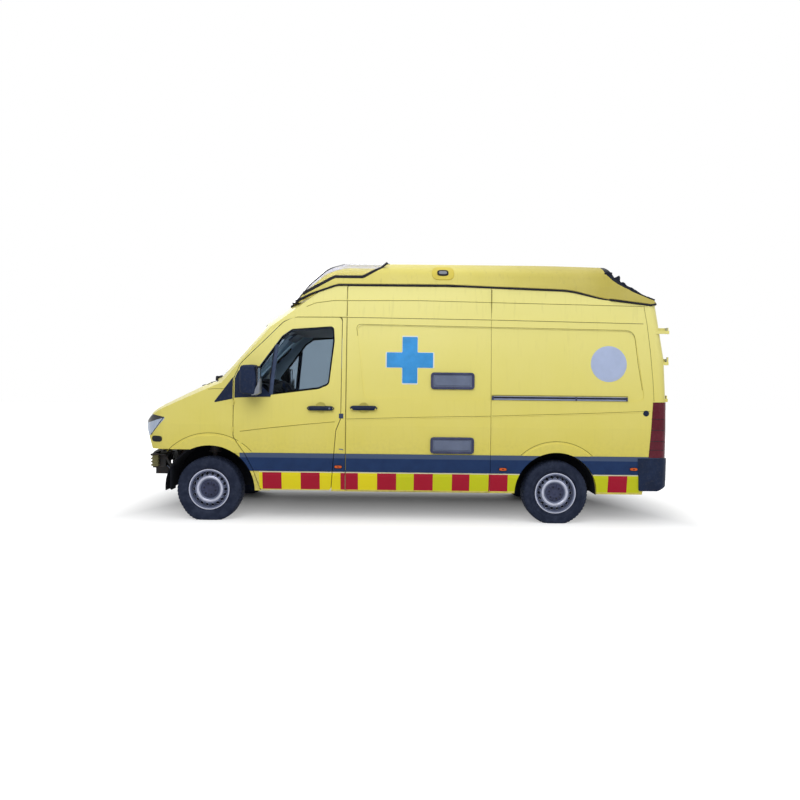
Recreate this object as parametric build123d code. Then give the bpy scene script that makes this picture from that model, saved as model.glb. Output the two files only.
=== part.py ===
from build123d import *
import functools
import math
import os

# High-roof panel van fitted as an ambulance, in millimetres.
# X points forward from the front axle, Y to the left, Z up from the floor.
# Every piece is moved along X at the end, so that X 0 is the middle of the whole length.

# Running gear
WHEELBASE = 3665.0
TRACK_HALF = 855.0
AXLE_Z = 318.0
TYRE_RADIUS = 344.0
TYRE_WIDTH = 228.0
RIM_RADIUS = 214.0
BEAD_RADIUS = 203.0
KINGPIN_Y = 700.0
SPINDLE_RADIUS = 30.0
RUNNING_FIT = 0.05

# Body
SILL_Z = 313.0
WALL = 50.0
SKIN = 20.0
ROOF_WALL = 30.0
SEAT = 0.3
MOVING_GAP = 7.0
SHUT_GAP = 4.0
FRONT_FAR = 1300.0
CENTRE_TO_NOSE_AXIS = 1500.0
REAR_CROWN = math.tan(math.radians(5.0))
REAR_CROWN_RADIUS = 8500.0
REAR_CROWN_RISE = REAR_CROWN_RADIUS * (1 / math.cos(math.radians(5.0)) - 1)

# Level, half width, middle of the rear face, radius of the rear corner
BODY_LEVELS = (
    (250.0, 948.0, -4874.0, 100.0),
    (480.0, 985.0, -4878.0, 110.0),
    (1010.0, 996.0, -4878.0, 110.0),
    (1295.0, 981.0, -4876.0, 110.0),
    (1743.0, 946.0, -4857.0, 105.0),
    (2165.0, 906.0, -4790.0, 100.0),
    (2330.0, 889.0, -4762.0, 95.0),
    (2520.0, 866.0, -4700.0, 90.0),
)

# Bonnet and nose, turned about an upright axis behind the engine: radius, level, rounding
NOSE_PROFILE = (
    (0.0, 200.0, 0.0),
    (2285.0, 200.0, 0.0),
    (2300.0, 740.0, 0.0),
    (2362.0, 1010.0, 120.0),
    (2285.0, 1140.0, 300.0),
    (1671.0, 1455.0, 0.0),
    (0.0, 1455.0, 0.0),
)
COWL_CENTRE_X = -2440.0
COWL_RADIUS = 2600.0
COWL_HALF = 720.0
COWL_GAP = 8.0
COWL_BEAM_HALF = 678.0
NOSE_BOTTOM_Z = 745.0

# Windscreen and header: a point on the middle line, slope, crown radius
SCREEN_SURFACES = (
    (96.0, 1477.0, 48.3, 2600.0),
    (-519.0, 2168.0, 35.4, 2600.0),
)
SCREEN_CROWN = math.radians(20.0)

# Outlines seen from the side run anticlockwise: x, z, rounding
DOOR_OUTLINE = (
    (-545.0, 322.0, 30.0),
    (-475.0, 535.0, 0.0),
    (-378.0, 722.0, 60.0),
    (-262.0, 880.0, 90.0),
    (-262.0, 1500.0, 90.0),
    (-330.0, 1655.0, 120.0),
    (-775.0, 2100.0, 120.0),
    (-905.0, 2152.0, 60.0),
    (-1388.0, 2155.0, 45.0),
    (-1386.0, 1090.0, 40.0),
    (-1335.0, 960.0, 60.0),
    (-1285.0, 322.0, 30.0),
)
DOOR_WINDOW = (
    (-640.0, 1325.0, 12.0),
    (-430.0, 1500.0, 30.0),
    (-757.0, 1950.0, 40.0),
    (-860.0, 2025.0, 60.0),
    (-1305.0, 2060.0, 40.0),
    (-1315.0, 1900.0, 200.0),
    (-1262.0, 1440.0, 60.0),
    (-1150.0, 1392.0, 60.0),
)
SLIDE_FRONT_X = -1440.0
SLIDE_REAR_X = -2966.0
SLIDE_TOP_Z = 2488.0
SLIDE_OUTLINE = (
    (SLIDE_REAR_X, 322.0, 30.0),
    (SLIDE_FRONT_X, 322.0, 30.0),
    (SLIDE_FRONT_X, SLIDE_TOP_Z, 25.0),
    (SLIDE_REAR_X, SLIDE_TOP_Z, 25.0),
)
RECESS_OUTLINE = (
    (-4585.0, 1298.0, 60.0),
    (-1630.0, 1298.0, 60.0),
    (-1545.0, 2075.0, 60.0),
    (-4480.0, 2040.0, 110.0),
)
RECESS_DEPTH = 8.0
CORNER_SEAM = (
    (-5200.0, 200.0, 0.0),
    (-4560.0, 200.0, 0.0),
    (-4615.0, 520.0, 60.0),
    (-4665.0, 1296.0, 200.0),
    (-4640.0, 1900.0, 300.0),
    (-4560.0, 2700.0, 0.0),
    (-5200.0, 2700.0, 0.0),
)
BUMPER_OUTLINE = (
    (-4540.0, 353.0, 20.0),
    (-4515.0, 700.0, 0.0),
    (-5200.0, 700.0, 0.0),
    (-5200.0, 470.0, 0.0),
    (-4860.0, 420.0, 60.0),
    (-4740.0, 353.0, 60.0),
)
TAIL_LAMP_OUTLINE = (
    (-5200.0, 708.0, 0.0),
    (-4632.0, 708.0, 0.0),
    (-4670.0, 1292.0, 0.0),
    (-5200.0, 1292.0, 0.0),
)
LAMP_OUTLINE = (
    (1100.0, 832.0, 0.0),
    (1100.0, 1108.0, 0.0),
    (600.0, 1108.0, 60.0),
    (448.0, 1080.0, 15.0),
    (612.0, 900.0, 60.0),
    (740.0, 832.0, 40.0),
)
LAMP_INNER_Y = 560.0
LAMP_COVER = 5.0
LAMP_DEPTH = 80.0
PANEL_HALF = 559.5
PANEL_LOW_Z = 905.0
GRILLE_HALF = 500.0
GRILLE_SLATS = 4
POD_SEAM = (
    (-500.0, 2100.0, 0.0),
    (-500.0, 3000.0, 0.0),
    (-5200.0, 3000.0, 0.0),
    (-5200.0, 2335.0, 0.0),
    (-4654.0, 2319.0, 100.0),
    (-4122.0, 2384.0, 600.0),
    (-3800.0, 2462.0, 900.0),
    (-2500.0, 2504.0, 3000.0),
    (-1330.0, 2500.0, 200.0),
    (-1056.0, 2401.0, 300.0),
    (-835.0, 2289.0, 100.0),
    (-700.0, 2200.0, 0.0),
)

# Roof pod: half section, then side profiles of its front and rear
POD_SECTION = (
    (0.0, 2150.0, 0.0),
    (915.0, 2150.0, 0.0),
    (872.0, 2510.0, 250.0),
    (825.0, 2680.0, 170.0),
    (640.0, 2766.0, 260.0),
    (0.0, 2800.0, 0.0),
)
POD_AXIS_X = -2900.0
POD_FRONT = (
    (0.0, 2100.0, 0.0),
    (2215.0, 2100.0, 0.0),
    (2190.0, 2270.0, 150.0),
    (2080.0, 2480.0, 350.0),
    (1860.0, 2680.0, 300.0),
    (1550.0, 2790.0, 500.0),
    (1000.0, 2810.0, 0.0),
    (0.0, 2810.0, 0.0),
)
POD_REAR = (
    (-4745.0, 2100.0, 0.0),
    (100.0, 2100.0, 0.0),
    (100.0, 2830.0, 0.0),
    (-2500.0, 2800.0, 0.0),
    (-4215.0, 2738.0, 40.0),
    (-4285.0, 2600.0, 60.0),
    (-4440.0, 2470.0, 300.0),
    (-4735.0, 2350.0, 25.0),
)
POD_REAR_CORNER = 160.0
LENS_OUTLINE = (
    (-600.0, 2100.0, 0.0),
    (-600.0, 3000.0, 0.0),
    (-2150.0, 3000.0, 0.0),
    (-1790.0, 2700.0, 0.0),
    (-1600.0, 2590.0, 60.0),
    (-1300.0, 2590.0, 90.0),
    (-985.0, 2412.0, 120.0),
    (-850.0, 2300.0, 0.0),
    (-760.0, 2180.0, 0.0),
)

# Wheel arches: axle x, radius of the opening, radius of the lip round it
FRONT_ARCH = (-12.0, 472.0, 600.0)
REAR_ARCH = (-3665.0, 434.0, 548.0)
FLARE_PROUD = 13.0
BAND_PROUD = 7.0
BAND_LOW_Z = 525.0
BAND_TOP_Z = 716.0
LINER_INNER_Y = 500.0
LINER_DEPTH = 8.0
LINER_WALL = 6.0

# Doors, joints and glass
CAB_HINGE_Y = 1003.0
CAB_HINGE_LEVELS = (960.0, 1240.0)
REAR_DOOR_HALF = 874.0
REAR_DOOR_LOW_Z = 712.0
REAR_DOOR_TOP_Z = 2285.0
REAR_DOOR_MEETING_GAP = 10.0
REAR_HINGE_X = -4846.0
REAR_HINGE_HALF = 34.0
# Level of each rear door hinge, reach of its foot into the pillar and into the door
REAR_HINGES = (
    (1330.0, 44.0, 44.0),
    (1720.0, 80.0, 62.0),
    (2050.0, 155.0, 100.0),
)
REAR_DOOR_OUTLINE = (
    (REAR_DOOR_MEETING_GAP / 2, REAR_DOOR_LOW_Z, 0.0),
    (REAR_DOOR_HALF, REAR_DOOR_LOW_Z, 30.0),
    (REAR_DOOR_HALF, 1500.0, 900.0),
    (800.0, REAR_DOOR_TOP_Z, 60.0),
    (REAR_DOOR_MEETING_GAP / 2, REAR_DOOR_TOP_Z, 0.0),
)
BONNET_HALF = 612.0
BONNET_FRONT_Z = 1114.0
BONNET_WALL = 22.0
BONNET_HINGE_X = 28.0
BONNET_HINGE_Y = 520.0
BONNET_HINGE_Z = 1420.0
HINGE_HALF = 26.0
PIN_RADIUS = 4.0
KNUCKLE_RADIUS = 8.0
GLASS = 5.0
MIRROR_REACH = 1213.0
MIRROR_OUTLINE = (
    (-530.0, 1330.0, 30.0),
    (-372.0, 1345.0, 40.0),
    (-372.0, 1632.0, 40.0),
    (-520.0, 1640.0, 30.0),
    (-540.0, 1500.0, 400.0),
)
CAB_REAR_X = -1391.0
SEAT_BACK = (
    (-1270.0, 1050.0, 20.0),
    (-1150.0, 1060.0, 20.0),
    (-1290.0, 1440.0, 30.0),
    (-1388.0, 1440.0, 20.0),
)
FIREWALL_REAR_X = -250.0
PAN_LOW_Z = 640.0
CAB_FLOOR_Z = 670.0
LOAD_FLOOR_Z = 680.0
MAT_TOP_Z = 684.0
MAT_HALF = 600.0
MAT_REAR_X = -4700.0
MAT_FRONT_X = -1450.0
RAIL_Y = 405.0
RAIL_HALF = 36.0
RAIL_LOW_Z = 400.0
RAIL_TOP_Z = 520.0
RAIL_REAR_X = -4720.0
RAIL_FRONT_X = 600.0
CROSS_MEMBERS = (565.0, -3000.0, -4680.0)
OUTRIGGERS = (-700.0, -1350.0, -2100.0, -2900.0, -4400.0)
OUTRIGGER_LOW_Z = 440.0
JACK_PAD_X = -2900.0
JACK_PAD_Y = 850.0
JACK_PAD_LOW_Z = 424.0
ARCH_PLATE_Y = {FRONT_ARCH: 508.0, REAR_ARCH: 640.0}
DASHBOARD = (
    (-600.0, 1430.0, 60.0),
    (-665.0, 1270.0, 40.0),
    (-560.0, 1120.0, 60.0),
    (-430.0, 880.0, 40.0),
    (FIREWALL_REAR_X - SEAT, 900.0, 0.0),
    (FIREWALL_REAR_X - SEAT, 1388.0, 0.0),
    (-110.0, 1400.0, 0.0),
    (-110.0, 1450.0, 0.0),
    (-400.0, 1462.0, 300.0),
)
HANDLE_Z = 1192.0
STEERING_PLACE = Pos(-790, 430, 1290) * Rot(0, -62, 0)
COLUMN_LENGTH = 250.0
SCREEN_LOW_Z = 1500.0
SCREEN_TOP_Z = 2085.0
BEAM_RADIUS = 2295.0
BEAM_DEPTH = 80.0
TOW_EYE_Y = 405.0
TOW_EYE_Z = 590.0
TOW_EYE_RADIUS = 11.0
PIPE_Y = -640.0
PIPE_Z = 380.0
SPINDLE_END = 880.0
SPRING_Y = 500.0
VENT_COUNT = 18
VENT_RADIUS = 168.0
VENT_HOLE = 11.0
WHEELS = (
    ("front_left", 0.0, 1),
    ("front_right", 0.0, -1),
    ("rear_left", -WHEELBASE, 1),
    ("rear_right", -WHEELBASE, -1),
)


def flat(rows):
    """Closed outline of rows (u, v, rounding) as a flat face."""
    points = [(u, v) for u, v, _ in rows]
    return make_face(FilletPolyline(*points, radius=[r for _, _, r in rows], close=True))


def inset(rows, distance):
    """Anticlockwise outline with each of its sides moved inwards by a distance."""
    moved = []
    for index, (u, v, rounding) in enumerate(rows):
        before = rows[index - 1]
        after = rows[(index + 1) % len(rows)]
        ahead = (u - before[0], v - before[1])
        away = (after[0] - u, after[1] - v)
        ahead_length = math.hypot(*ahead)
        away_length = math.hypot(*away)
        first = (-ahead[1] / ahead_length, ahead[0] / ahead_length)
        second = (-away[1] / away_length, away[0] / away_length)
        share = distance / (1 + first[0] * second[0] + first[1] * second[1])
        turn = ahead[0] * away[1] - ahead[1] * away[0]
        radius = rounding - math.copysign(distance, turn) if rounding else 0.0
        step_u = (first[0] + second[0]) * share
        step_v = (first[1] + second[1]) * share
        moved.append((u + step_u, v + step_v, max(radius, 0.0)))
    return moved


def side_prism(rows, low_y, high_y, grow=0.0):
    """Outline seen from the side, as a solid between two values of Y."""
    face = Plane.XZ.location * flat(inset(rows, -grow) if grow else rows)
    return Pos(0, low_y, 0) * extrude(face, amount=high_y - low_y, dir=(0, 1, 0))


def block(low, high):
    """Box between two corners."""
    size = [top - bottom for bottom, top in zip(low, high)]
    return Pos(*low) * Box(*size, align=(Align.MIN, Align.MIN, Align.MIN))


def post(x, y, low_z, high_z, radius):
    """Upright cylinder."""
    return Pos(x, y, low_z) * Cylinder(radius, high_z - low_z, align=(Align.CENTER, Align.CENTER, Align.MIN))


def bar_y(x, z, low_y, high_y, radius):
    """Cylinder across the vehicle."""
    bar = Cylinder(radius, high_y - low_y, align=(Align.CENTER, Align.CENTER, Align.MIN))
    return Pos(x, low_y, z) * Rot(-90, 0, 0) * bar


def bar_x(y, z, low_x, high_x, radius):
    """Cylinder along the vehicle."""
    bar = Cylinder(radius, high_x - low_x, align=(Align.CENTER, Align.CENTER, Align.MIN))
    return Pos(low_x, y, z) * Rot(0, 90, 0) * bar


def right_of(piece):
    """The same piece on the other side of the vehicle."""
    return mirror(piece, about=Plane.XZ)


def both(piece):
    """A piece and its twin on the other side."""
    return piece + right_of(piece)


@functools.lru_cache
def body_block(depth):
    """Whole side and rear form of the body, drawn in by a depth."""
    sections = []
    for level, half, rear, corner in BODY_LEVELS:
        apex = rear - REAR_CROWN_RISE
        rows = (
            (FRONT_FAR, -half, 0.0),
            (FRONT_FAR, half, 0.0),
            (apex + REAR_CROWN * half, half, corner),
            (apex, 0.0, REAR_CROWN_RADIUS),
            (apex + REAR_CROWN * half, -half, corner),
        )
        sections.append(Pos(0, 0, level) * flat(inset(rows, depth)))
    return loft(sections, ruled=True)


@functools.lru_cache
def screen_block(depth):
    """Space behind the windscreen and its header."""
    space = None
    for x, z, slope, radius in SCREEN_SURFACES:
        angle = math.radians(slope)
        plane = Plane(
            origin=(x, 0, z),
            x_dir=(math.sin(angle), 0, math.cos(angle)),
            z_dir=(-math.cos(angle), 0, math.sin(angle)),
        )
        rise = radius * (1 / math.cos(SCREEN_CROWN) - 1)
        reach = 1150.0
        rows = (
            (rise, 0.0, radius),
            (rise - reach * math.tan(SCREEN_CROWN), reach, 0.0),
            (-7000.0, reach, 0.0),
            (-7000.0, -reach, 0.0),
            (rise - reach * math.tan(SCREEN_CROWN), -reach, 0.0),
        )
        one = extrude(plane.location * flat(inset(rows, depth)), amount=6500.0, both=True)
        space = one if space is None else space & one
    return space & block((-6000, -1200, 0), (100.0 - depth, 1200, 3000))


def turned(rows, depth):
    """Half profile (radius, level, rounding), drawn in by a depth and turned about Z."""
    drawn = [(u if rows[index][0] else 0.0, v, r) for index, (u, v, r) in enumerate(inset(rows, depth))]
    return revolve(Plane.XZ.location * flat(drawn), Axis.Z)


def nose_block(depth):
    """Space below the bonnet and behind the nose."""
    return Pos(-CENTRE_TO_NOSE_AXIS, 0, 0) * turned(NOSE_PROFILE, depth)


def plan_block(depth):
    """Upright prism that rounds the front corners."""
    rows = (
        (-6000.0, -997.0, 0.0),
        (640.0, -997.0, 300.0),
        (996.0, 0.0, 0.0),
        (640.0, 997.0, 300.0),
        (-6000.0, 997.0, 0.0),
    )
    return Pos(0, 0, 200) * extrude(flat(inset(rows, depth)), amount=2400.0)


@functools.lru_cache
def upper_block(depth):
    """Body form above the waist: behind the windscreen."""
    return body_block(depth) & screen_block(depth)


@functools.lru_cache
def envelope(depth):
    """Whole body form without the roof pod, drawn in by a depth, or swollen if below zero."""
    front = nose_block(depth) & plan_block(depth)
    bottom = SILL_Z if depth <= 0 else SILL_Z - 50
    low = block((-6000, -1200, bottom), (FRONT_FAR, 1200, 3000))
    return (body_block(depth) & (front + screen_block(depth))) & low


@functools.lru_cache
def pod_block(depth):
    """Form of the roof pod, drawn in by a depth."""
    right_half = [(-u, v, r) for u, v, r in reversed(POD_SECTION[1:-1])]
    rows = inset(POD_SECTION[1:-1] + (POD_SECTION[-1],) + tuple(right_half), depth)
    section = Pos(-5200, 0, 0) * extrude(Plane.YZ.location * flat(rows), amount=5000.0, dir=(1, 0, 0))
    front = Pos(POD_AXIS_X, 0, 0) * turned(POD_FRONT, depth)
    front_half = front + block((-5200, -1200, 2100 + depth), (POD_AXIS_X, 1200, 2810 - depth))
    rear = side_prism(inset(POD_REAR, depth), -1200, 1200)
    plan = (
        (-4745.0, -930.0, POD_REAR_CORNER),
        (0.0, -930.0, 0.0),
        (0.0, 930.0, 0.0),
        (-4745.0, 930.0, POD_REAR_CORNER),
    )
    outline = Pos(0, 0, 2100) * extrude(flat(inset(plan, depth)), amount=800.0)
    return section & front_half & rear & outline


def arch_space(arch, grow, inner_y=LINER_INNER_Y):
    """Cylinder of a wheel arch on the left."""
    x, radius, _ = arch
    return bar_y(x, AXLE_Z, inner_y, 1300, radius + grow)


def flare(arch, swollen):
    """Raised lip round a wheel arch on the left, its edge sloped."""
    x, opening, radius = arch
    cone = Cone(radius + 12, radius - 34, 60.0, align=(Align.CENTER, Align.CENTER, Align.MIN))
    ring = Pos(x, 960, AXLE_Z) * Rot(-90, 0, 0) * cone
    keep = block((x - 700, 900, BAND_TOP_Z - 2), (x + 700, 1100, 1000))
    return swollen & ring & keep


def band(swollen):
    """Raised dark band along the left sill, with the arches left free."""
    keep = block((-4560.0, 900, BAND_LOW_Z), (-330.0, 1100, BAND_TOP_Z))
    return swollen & keep


class Forms:
    """Body forms that several panels are cut from."""

    def __init__(self):
        self.outer = envelope(0.0)
        self.wall = envelope(WALL)
        swollen = envelope(-FLARE_PROUD)
        raised = flare(FRONT_ARCH, swollen) + flare(REAR_ARCH, swollen) + band(envelope(-BAND_PROUD))
        recess = side_prism(RECESS_OUTLINE, 700, 1100) - envelope(RECESS_DEPTH)
        arches = arch_space(FRONT_ARCH, 0) + arch_space(REAR_ARCH, 0)
        self.left_half = block((-5500, 0, 0), (1500, 1400, 3200))
        dressed = ((self.outer & self.left_half) + raised) - recess - arches
        self.left = dressed
        self.left_wall = dressed - self.wall
        self.pod_above = side_prism(POD_SEAM, -1200, 1200)
        self.pod_above_grown = side_prism(POD_SEAM, -1200, 1200, SEAT)
        self.corner = side_prism(CORNER_SEAM, 0, 1200)
        self.door = side_prism(DOOR_OUTLINE, 500, 1300)
        self.door_grown = side_prism(DOOR_OUTLINE, 500, 1300, MOVING_GAP)
        self.slide = side_prism(SLIDE_OUTLINE, 500, 1300)
        self.slide_grown = side_prism(SLIDE_OUTLINE, 500, 1300, SHUT_GAP)
        self.bonnet = bonnet_zone(0.0)
        self.bonnet_grown = bonnet_zone(MOVING_GAP)
        self.lamp = side_prism(LAMP_OUTLINE, LAMP_INNER_Y, 1300)
        self.lamp_grown = side_prism(LAMP_OUTLINE, LAMP_INNER_Y - SEAT, 1300, SEAT)
        self.bumper = side_prism(BUMPER_OUTLINE, 0, 1300)
        self.bumper_grown = side_prism(BUMPER_OUTLINE, -1, 1300, SEAT)
        self.front_low = block((150, -1300, 0), (1500, 1300, NOSE_BOTTOM_Z))


def bonnet_zone(grow):
    """Space above the bonnet's outline, seen from above."""
    half = BONNET_HALF + grow
    space = block((-200, -half, BONNET_FRONT_Z - grow), (1200, half, 1700))
    return space - post(COWL_CENTRE_X, 0, 1000, 1800, COWL_RADIUS - grow)


def cowl_zone(grow):
    """Space of the cowl, between the bonnet and the windscreen."""
    half = COWL_HALF + grow
    space = block((-199.7 - grow, -half, 1385.3 - grow), (300, half, 1477.7 + grow))
    return space & post(COWL_CENTRE_X, 0, 1300, 1600, COWL_RADIUS - COWL_GAP + grow)


def hinge_eye(x, y, low_z, high_z):
    """Hinge barrel with a bore for its pin."""
    bore = post(x, y, low_z - 1, high_z + 1, PIN_RADIUS + RUNNING_FIT)
    return post(x, y, low_z, high_z, KNUCKLE_RADIUS) - bore


def make_wings(forms):
    """Front wings: skins ahead of the doors, out to the lamps."""
    zone = block((-640, 0, SILL_Z), (1200, 1300, 1385.0)) + block((-199.7, 0, 1300), (1200, 1300, 1477.7))
    skin = (forms.left - envelope(SKIN)) & zone
    skin = skin - forms.door_grown - forms.bonnet_grown - forms.lamp_grown - forms.front_low
    skin = skin - block((-640, 0, 300), (1300, LAMP_INNER_Y, 2000)) - cowl_zone(SEAT)
    for level in CAB_HINGE_LEVELS:
        x = DOOR_OUTLINE[3][0] + MOVING_GAP / 2
        skin = skin - post(x, CAB_HINGE_Y, level, level + HINGE_HALF + 2, KNUCKLE_RADIUS + 2)
        eye = hinge_eye(x, CAB_HINGE_Y, level - HINGE_HALF, level - SEAT / 2)
        skin = skin + eye + (block((x, 975, level - HINGE_HALF), (x + 16, 1000, level - SEAT / 2)) - post(
            x, CAB_HINGE_Y, level - 40, level + 40, PIN_RADIUS + RUNNING_FIT))
    return both(skin)


def make_front_panel(forms):
    """Nose below the grille, with the frame that holds the grille."""
    zone = block((200, 0, NOSE_BOTTOM_Z), (1200, PANEL_HALF, BONNET_FRONT_Z - MOVING_GAP))
    shell = (forms.left - envelope(SKIN)) & zone
    opening = block((400, -10, PANEL_LOW_Z), (1200, GRILLE_HALF, BONNET_FRONT_Z - 45))
    return both(shell - opening)


def make_grille(forms):
    """Upper grille: a frame with level slats."""
    high = BONNET_FRONT_Z - 45
    zone = block((400, 0, PANEL_LOW_Z + SEAT), (1200, GRILLE_HALF - SEAT, high - SEAT))
    plate = (envelope(4.0) - envelope(26.0)) & zone
    gap = (high - PANEL_LOW_Z - 30) / GRILLE_SLATS
    for index in range(GRILLE_SLATS):
        low = PANEL_LOW_Z + 22 + index * gap
        plate = plate - block((400, -10, low), (1200, GRILLE_HALF - 22, low + gap - 12))
    return both(plate)


def make_lamps(forms):
    """Clear covers of the headlamps, which wrap round the front corners."""
    cover = (forms.left & forms.lamp) - envelope(LAMP_COVER)
    return both(cover - forms.bonnet_grown)


def make_lamp_housings(forms):
    """Tubs behind the headlamp covers."""
    tub = ((envelope(LAMP_COVER + SEAT) - envelope(LAMP_DEPTH)) & forms.lamp) & forms.left_half
    hollow = side_prism(inset(LAMP_OUTLINE, 8.0), LAMP_INNER_Y + 10, 1300) - envelope(LAMP_DEPTH - 8)
    cut = block((-200, 0, BONNET_FRONT_Z - MOVING_GAP - 12), (1200, BONNET_HALF + MOVING_GAP + 12, 1700))
    return both((tub - (hollow - cut)) - forms.bonnet_grown)


def make_bonnet(forms):
    """Bonnet with the pins of its hinges."""
    lid = (envelope(0.0) - envelope(BONNET_WALL)) & forms.bonnet
    lid = lid - upper_block(-MOVING_GAP)
    low = block((-300, -700, 1000), (1300, 700, BONNET_FRONT_Z))
    lid = lid - low
    pins = None
    for side in (-1, 1):
        y = side * BONNET_HINGE_Y
        low = (BONNET_HINGE_X, y - 8, BONNET_HINGE_Z - 8)
        arm = block(low, (BONNET_HINGE_X + 110, y + 8, BONNET_HINGE_Z + 8))
        eye = bar_y(BONNET_HINGE_X, BONNET_HINGE_Z, y - 8, y + 8, KNUCKLE_RADIUS)
        pin = bar_y(BONNET_HINGE_X, BONNET_HINGE_Z, y - 30, y + 30, PIN_RADIUS)
        pins = arm + eye + pin if pins is None else pins + arm + eye + pin
    return lid + pins


def make_cowl(forms):
    """Scuttle strip below the windscreen, on a beam with the bonnet's hinge ears."""
    cowl = (envelope(4.0) - envelope(34.0)) & cowl_zone(0.0)
    cowl = cowl + block((40, -COWL_BEAM_HALF, 1385.3), (60, COWL_BEAM_HALF, 1430))
    for side in (-1, 1):
        y = side * BONNET_HINGE_Y
        cowl = cowl - block((12, y - 15, BONNET_HINGE_Z - 20), (200, y + 15, 1500))
        for offset in (-22, 22):
            low_y = y + offset - 7
            ear = block((BONNET_HINGE_X - 10, low_y, 1388), (60, low_y + 14, BONNET_HINGE_Z))
            ear = ear + bar_y(BONNET_HINGE_X, BONNET_HINGE_Z, low_y, low_y + 14, KNUCKLE_RADIUS + 2)
            bore = bar_y(BONNET_HINGE_X, BONNET_HINGE_Z, low_y - 1, low_y + 16, PIN_RADIUS + RUNNING_FIT)
            cowl = (cowl + ear) - bore
    return cowl


def make_cab_frame(forms):
    """Windscreen pillars, header and the roof edge above the cab doors."""
    upper = upper_block(0.0) - upper_block(WALL)
    zone = block((CAB_REAR_X, -1200, 1385.3), (300, 1200, 2600))
    frame = (upper & zone) - forms.pod_above_grown
    frame = frame - forms.door_grown - right_of(forms.door_grown)
    frame = frame - block((-200, -1200, 1300), (400, 1200, 1478.0))
    return frame - screen_opening(0.0)


def screen_opening(grow):
    """Opening of the windscreen, seen from the front."""
    rows = (
        (-800.0, SCREEN_LOW_Z, 60.0),
        (800.0, SCREEN_LOW_Z, 60.0),
        (715.0, SCREEN_TOP_Z, 90.0),
        (-715.0, SCREEN_TOP_Z, 90.0),
    )
    face = Plane.YZ.location * flat(inset(rows, -grow))
    return Pos(-1200, 0, 0) * extrude(face, amount=1700.0, dir=(1, 0, 0))


def make_windscreen(forms):
    """Curved glass set in its opening."""
    glass = upper_block(6.0) - upper_block(6.0 + GLASS)
    return glass & screen_opening(-SEAT)


def make_cab_door(forms):
    """Left cab door with its window frame, handle and hinge pins."""
    door = forms.left_wall & forms.door
    door = door - side_prism(DOOR_WINDOW, 500, 1300)
    x = DOOR_OUTLINE[3][0] + MOVING_GAP / 2
    for level in CAB_HINGE_LEVELS:
        door = door - post(x, CAB_HINGE_Y, level - HINGE_HALF - 2, level, KNUCKLE_RADIUS + 2)
        barrel = post(x, CAB_HINGE_Y, level + SEAT / 2, level + HINGE_HALF, KNUCKLE_RADIUS)
        leaf = block((x - 16, 975, level + SEAT / 2), (x, 1000, level + HINGE_HALF))
        pin = post(x, CAB_HINGE_Y, level - HINGE_HALF, level + HINGE_HALF, PIN_RADIUS)
        door = door + barrel + leaf + pin
    door = door - handle_cup(-1178.0)
    return door + pull_handle(-1308.0, -1048.0, HANDLE_Z, 986.0)


def handle_cup(x):
    """Space for the fingers behind a handle."""
    return Pos(x, 986.0 + 66.0, HANDLE_Z + 10) * Sphere(88.0)


def pull_handle(low_x, high_x, z, y):
    """Grab handle on two feet."""
    grip = bar_x(y + 26, z, low_x, high_x, 13.0)
    feet = [block((x, y - 12, z - 11), (x + 34, y + 26, z + 11)) for x in (low_x, high_x - 34)]
    return grip + feet[0] + feet[1]


def make_cab_glass(forms):
    """Glass of the left cab door, behind the frame's outer edge."""
    glass = upper_or_outer(forms, 14.0) - envelope(14.0 + GLASS)
    return glass & side_prism(DOOR_WINDOW, 500, 1300, -SEAT)


def upper_or_outer(forms, depth):
    """Left half of the body form at a depth."""
    return envelope(depth) & forms.left_half


def make_mirror():
    """Left door mirror: a housing on an arm."""
    head = side_prism(MIRROR_OUTLINE, 1000.0, MIRROR_REACH)
    edges = [edge for edge in head.edges() if abs(edge.center().Y - MIRROR_REACH) < 1]
    head = fillet(edges, 24.0)
    arm = block((-500.0, 952.0, 1395.0), (-420.0, 1020.0, 1440.0))
    return head + (arm - envelope(-SEAT))


def make_side(forms):
    """Left side of the load space, from the door pillar to the rear corner."""
    zone = block((-5000, 0, SILL_Z), (CAB_REAR_X - SEAT, 1300, 2600))
    zone = zone + block((-1500, 0, SILL_Z), (-1285.0 - MOVING_GAP, 1300, 1100))
    side = (forms.left_wall & zone) - forms.slide_grown - forms.pod_above_grown - forms.bumper_grown
    return side - forms.corner - forms.door_grown


def make_sliding_doors(forms):
    """Sliding doors, shut, with their guide blocks and handles."""
    door = (forms.left_wall & forms.slide)
    guide = block((-2200, 905, 322.0 - SHUT_GAP + SEAT), (-2100, 940, 340))
    door = (door + guide) - handle_cup(-1630.0)
    return both(door + pull_handle(-1760.0, -1500.0, HANDLE_Z, 984.0))


def make_rails(forms):
    """Outer guide rails of the sliding doors."""
    rail = (envelope(-4.0) - envelope(RECESS_DEPTH - SEAT)) & block((-4400, 0, 1300.3), (-2975, 1300, 1340))
    return both(rail)


def make_covers(forms):
    """Two rounded covers on each sliding door."""
    covers = None
    for low_z, high_z, proud, seat in ((1412.0, 1575.0, 4.0, RECESS_DEPTH), (735.0, 895.0, 12.0, 0.0)):
        rows = ((-2785.0, low_z, 30.0), (-2340.0, low_z, 30.0), (-2340.0, high_z, 30.0), (-2785.0, high_z, 30.0))
        piece = (envelope(-proud) - envelope(seat - SEAT)) & side_prism(rows, 700, 1300)
        covers = piece if covers is None else covers + piece
    return both(covers)


def rear_opening(grow):
    """Opening of the left rear door, seen from behind."""
    face = Plane.YZ.location * flat(inset(REAR_DOOR_OUTLINE, -grow) if grow else REAR_DOOR_OUTLINE)
    return Pos(-5400, 0, 0) * extrude(face, amount=900.0, dir=(1, 0, 0))


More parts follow.
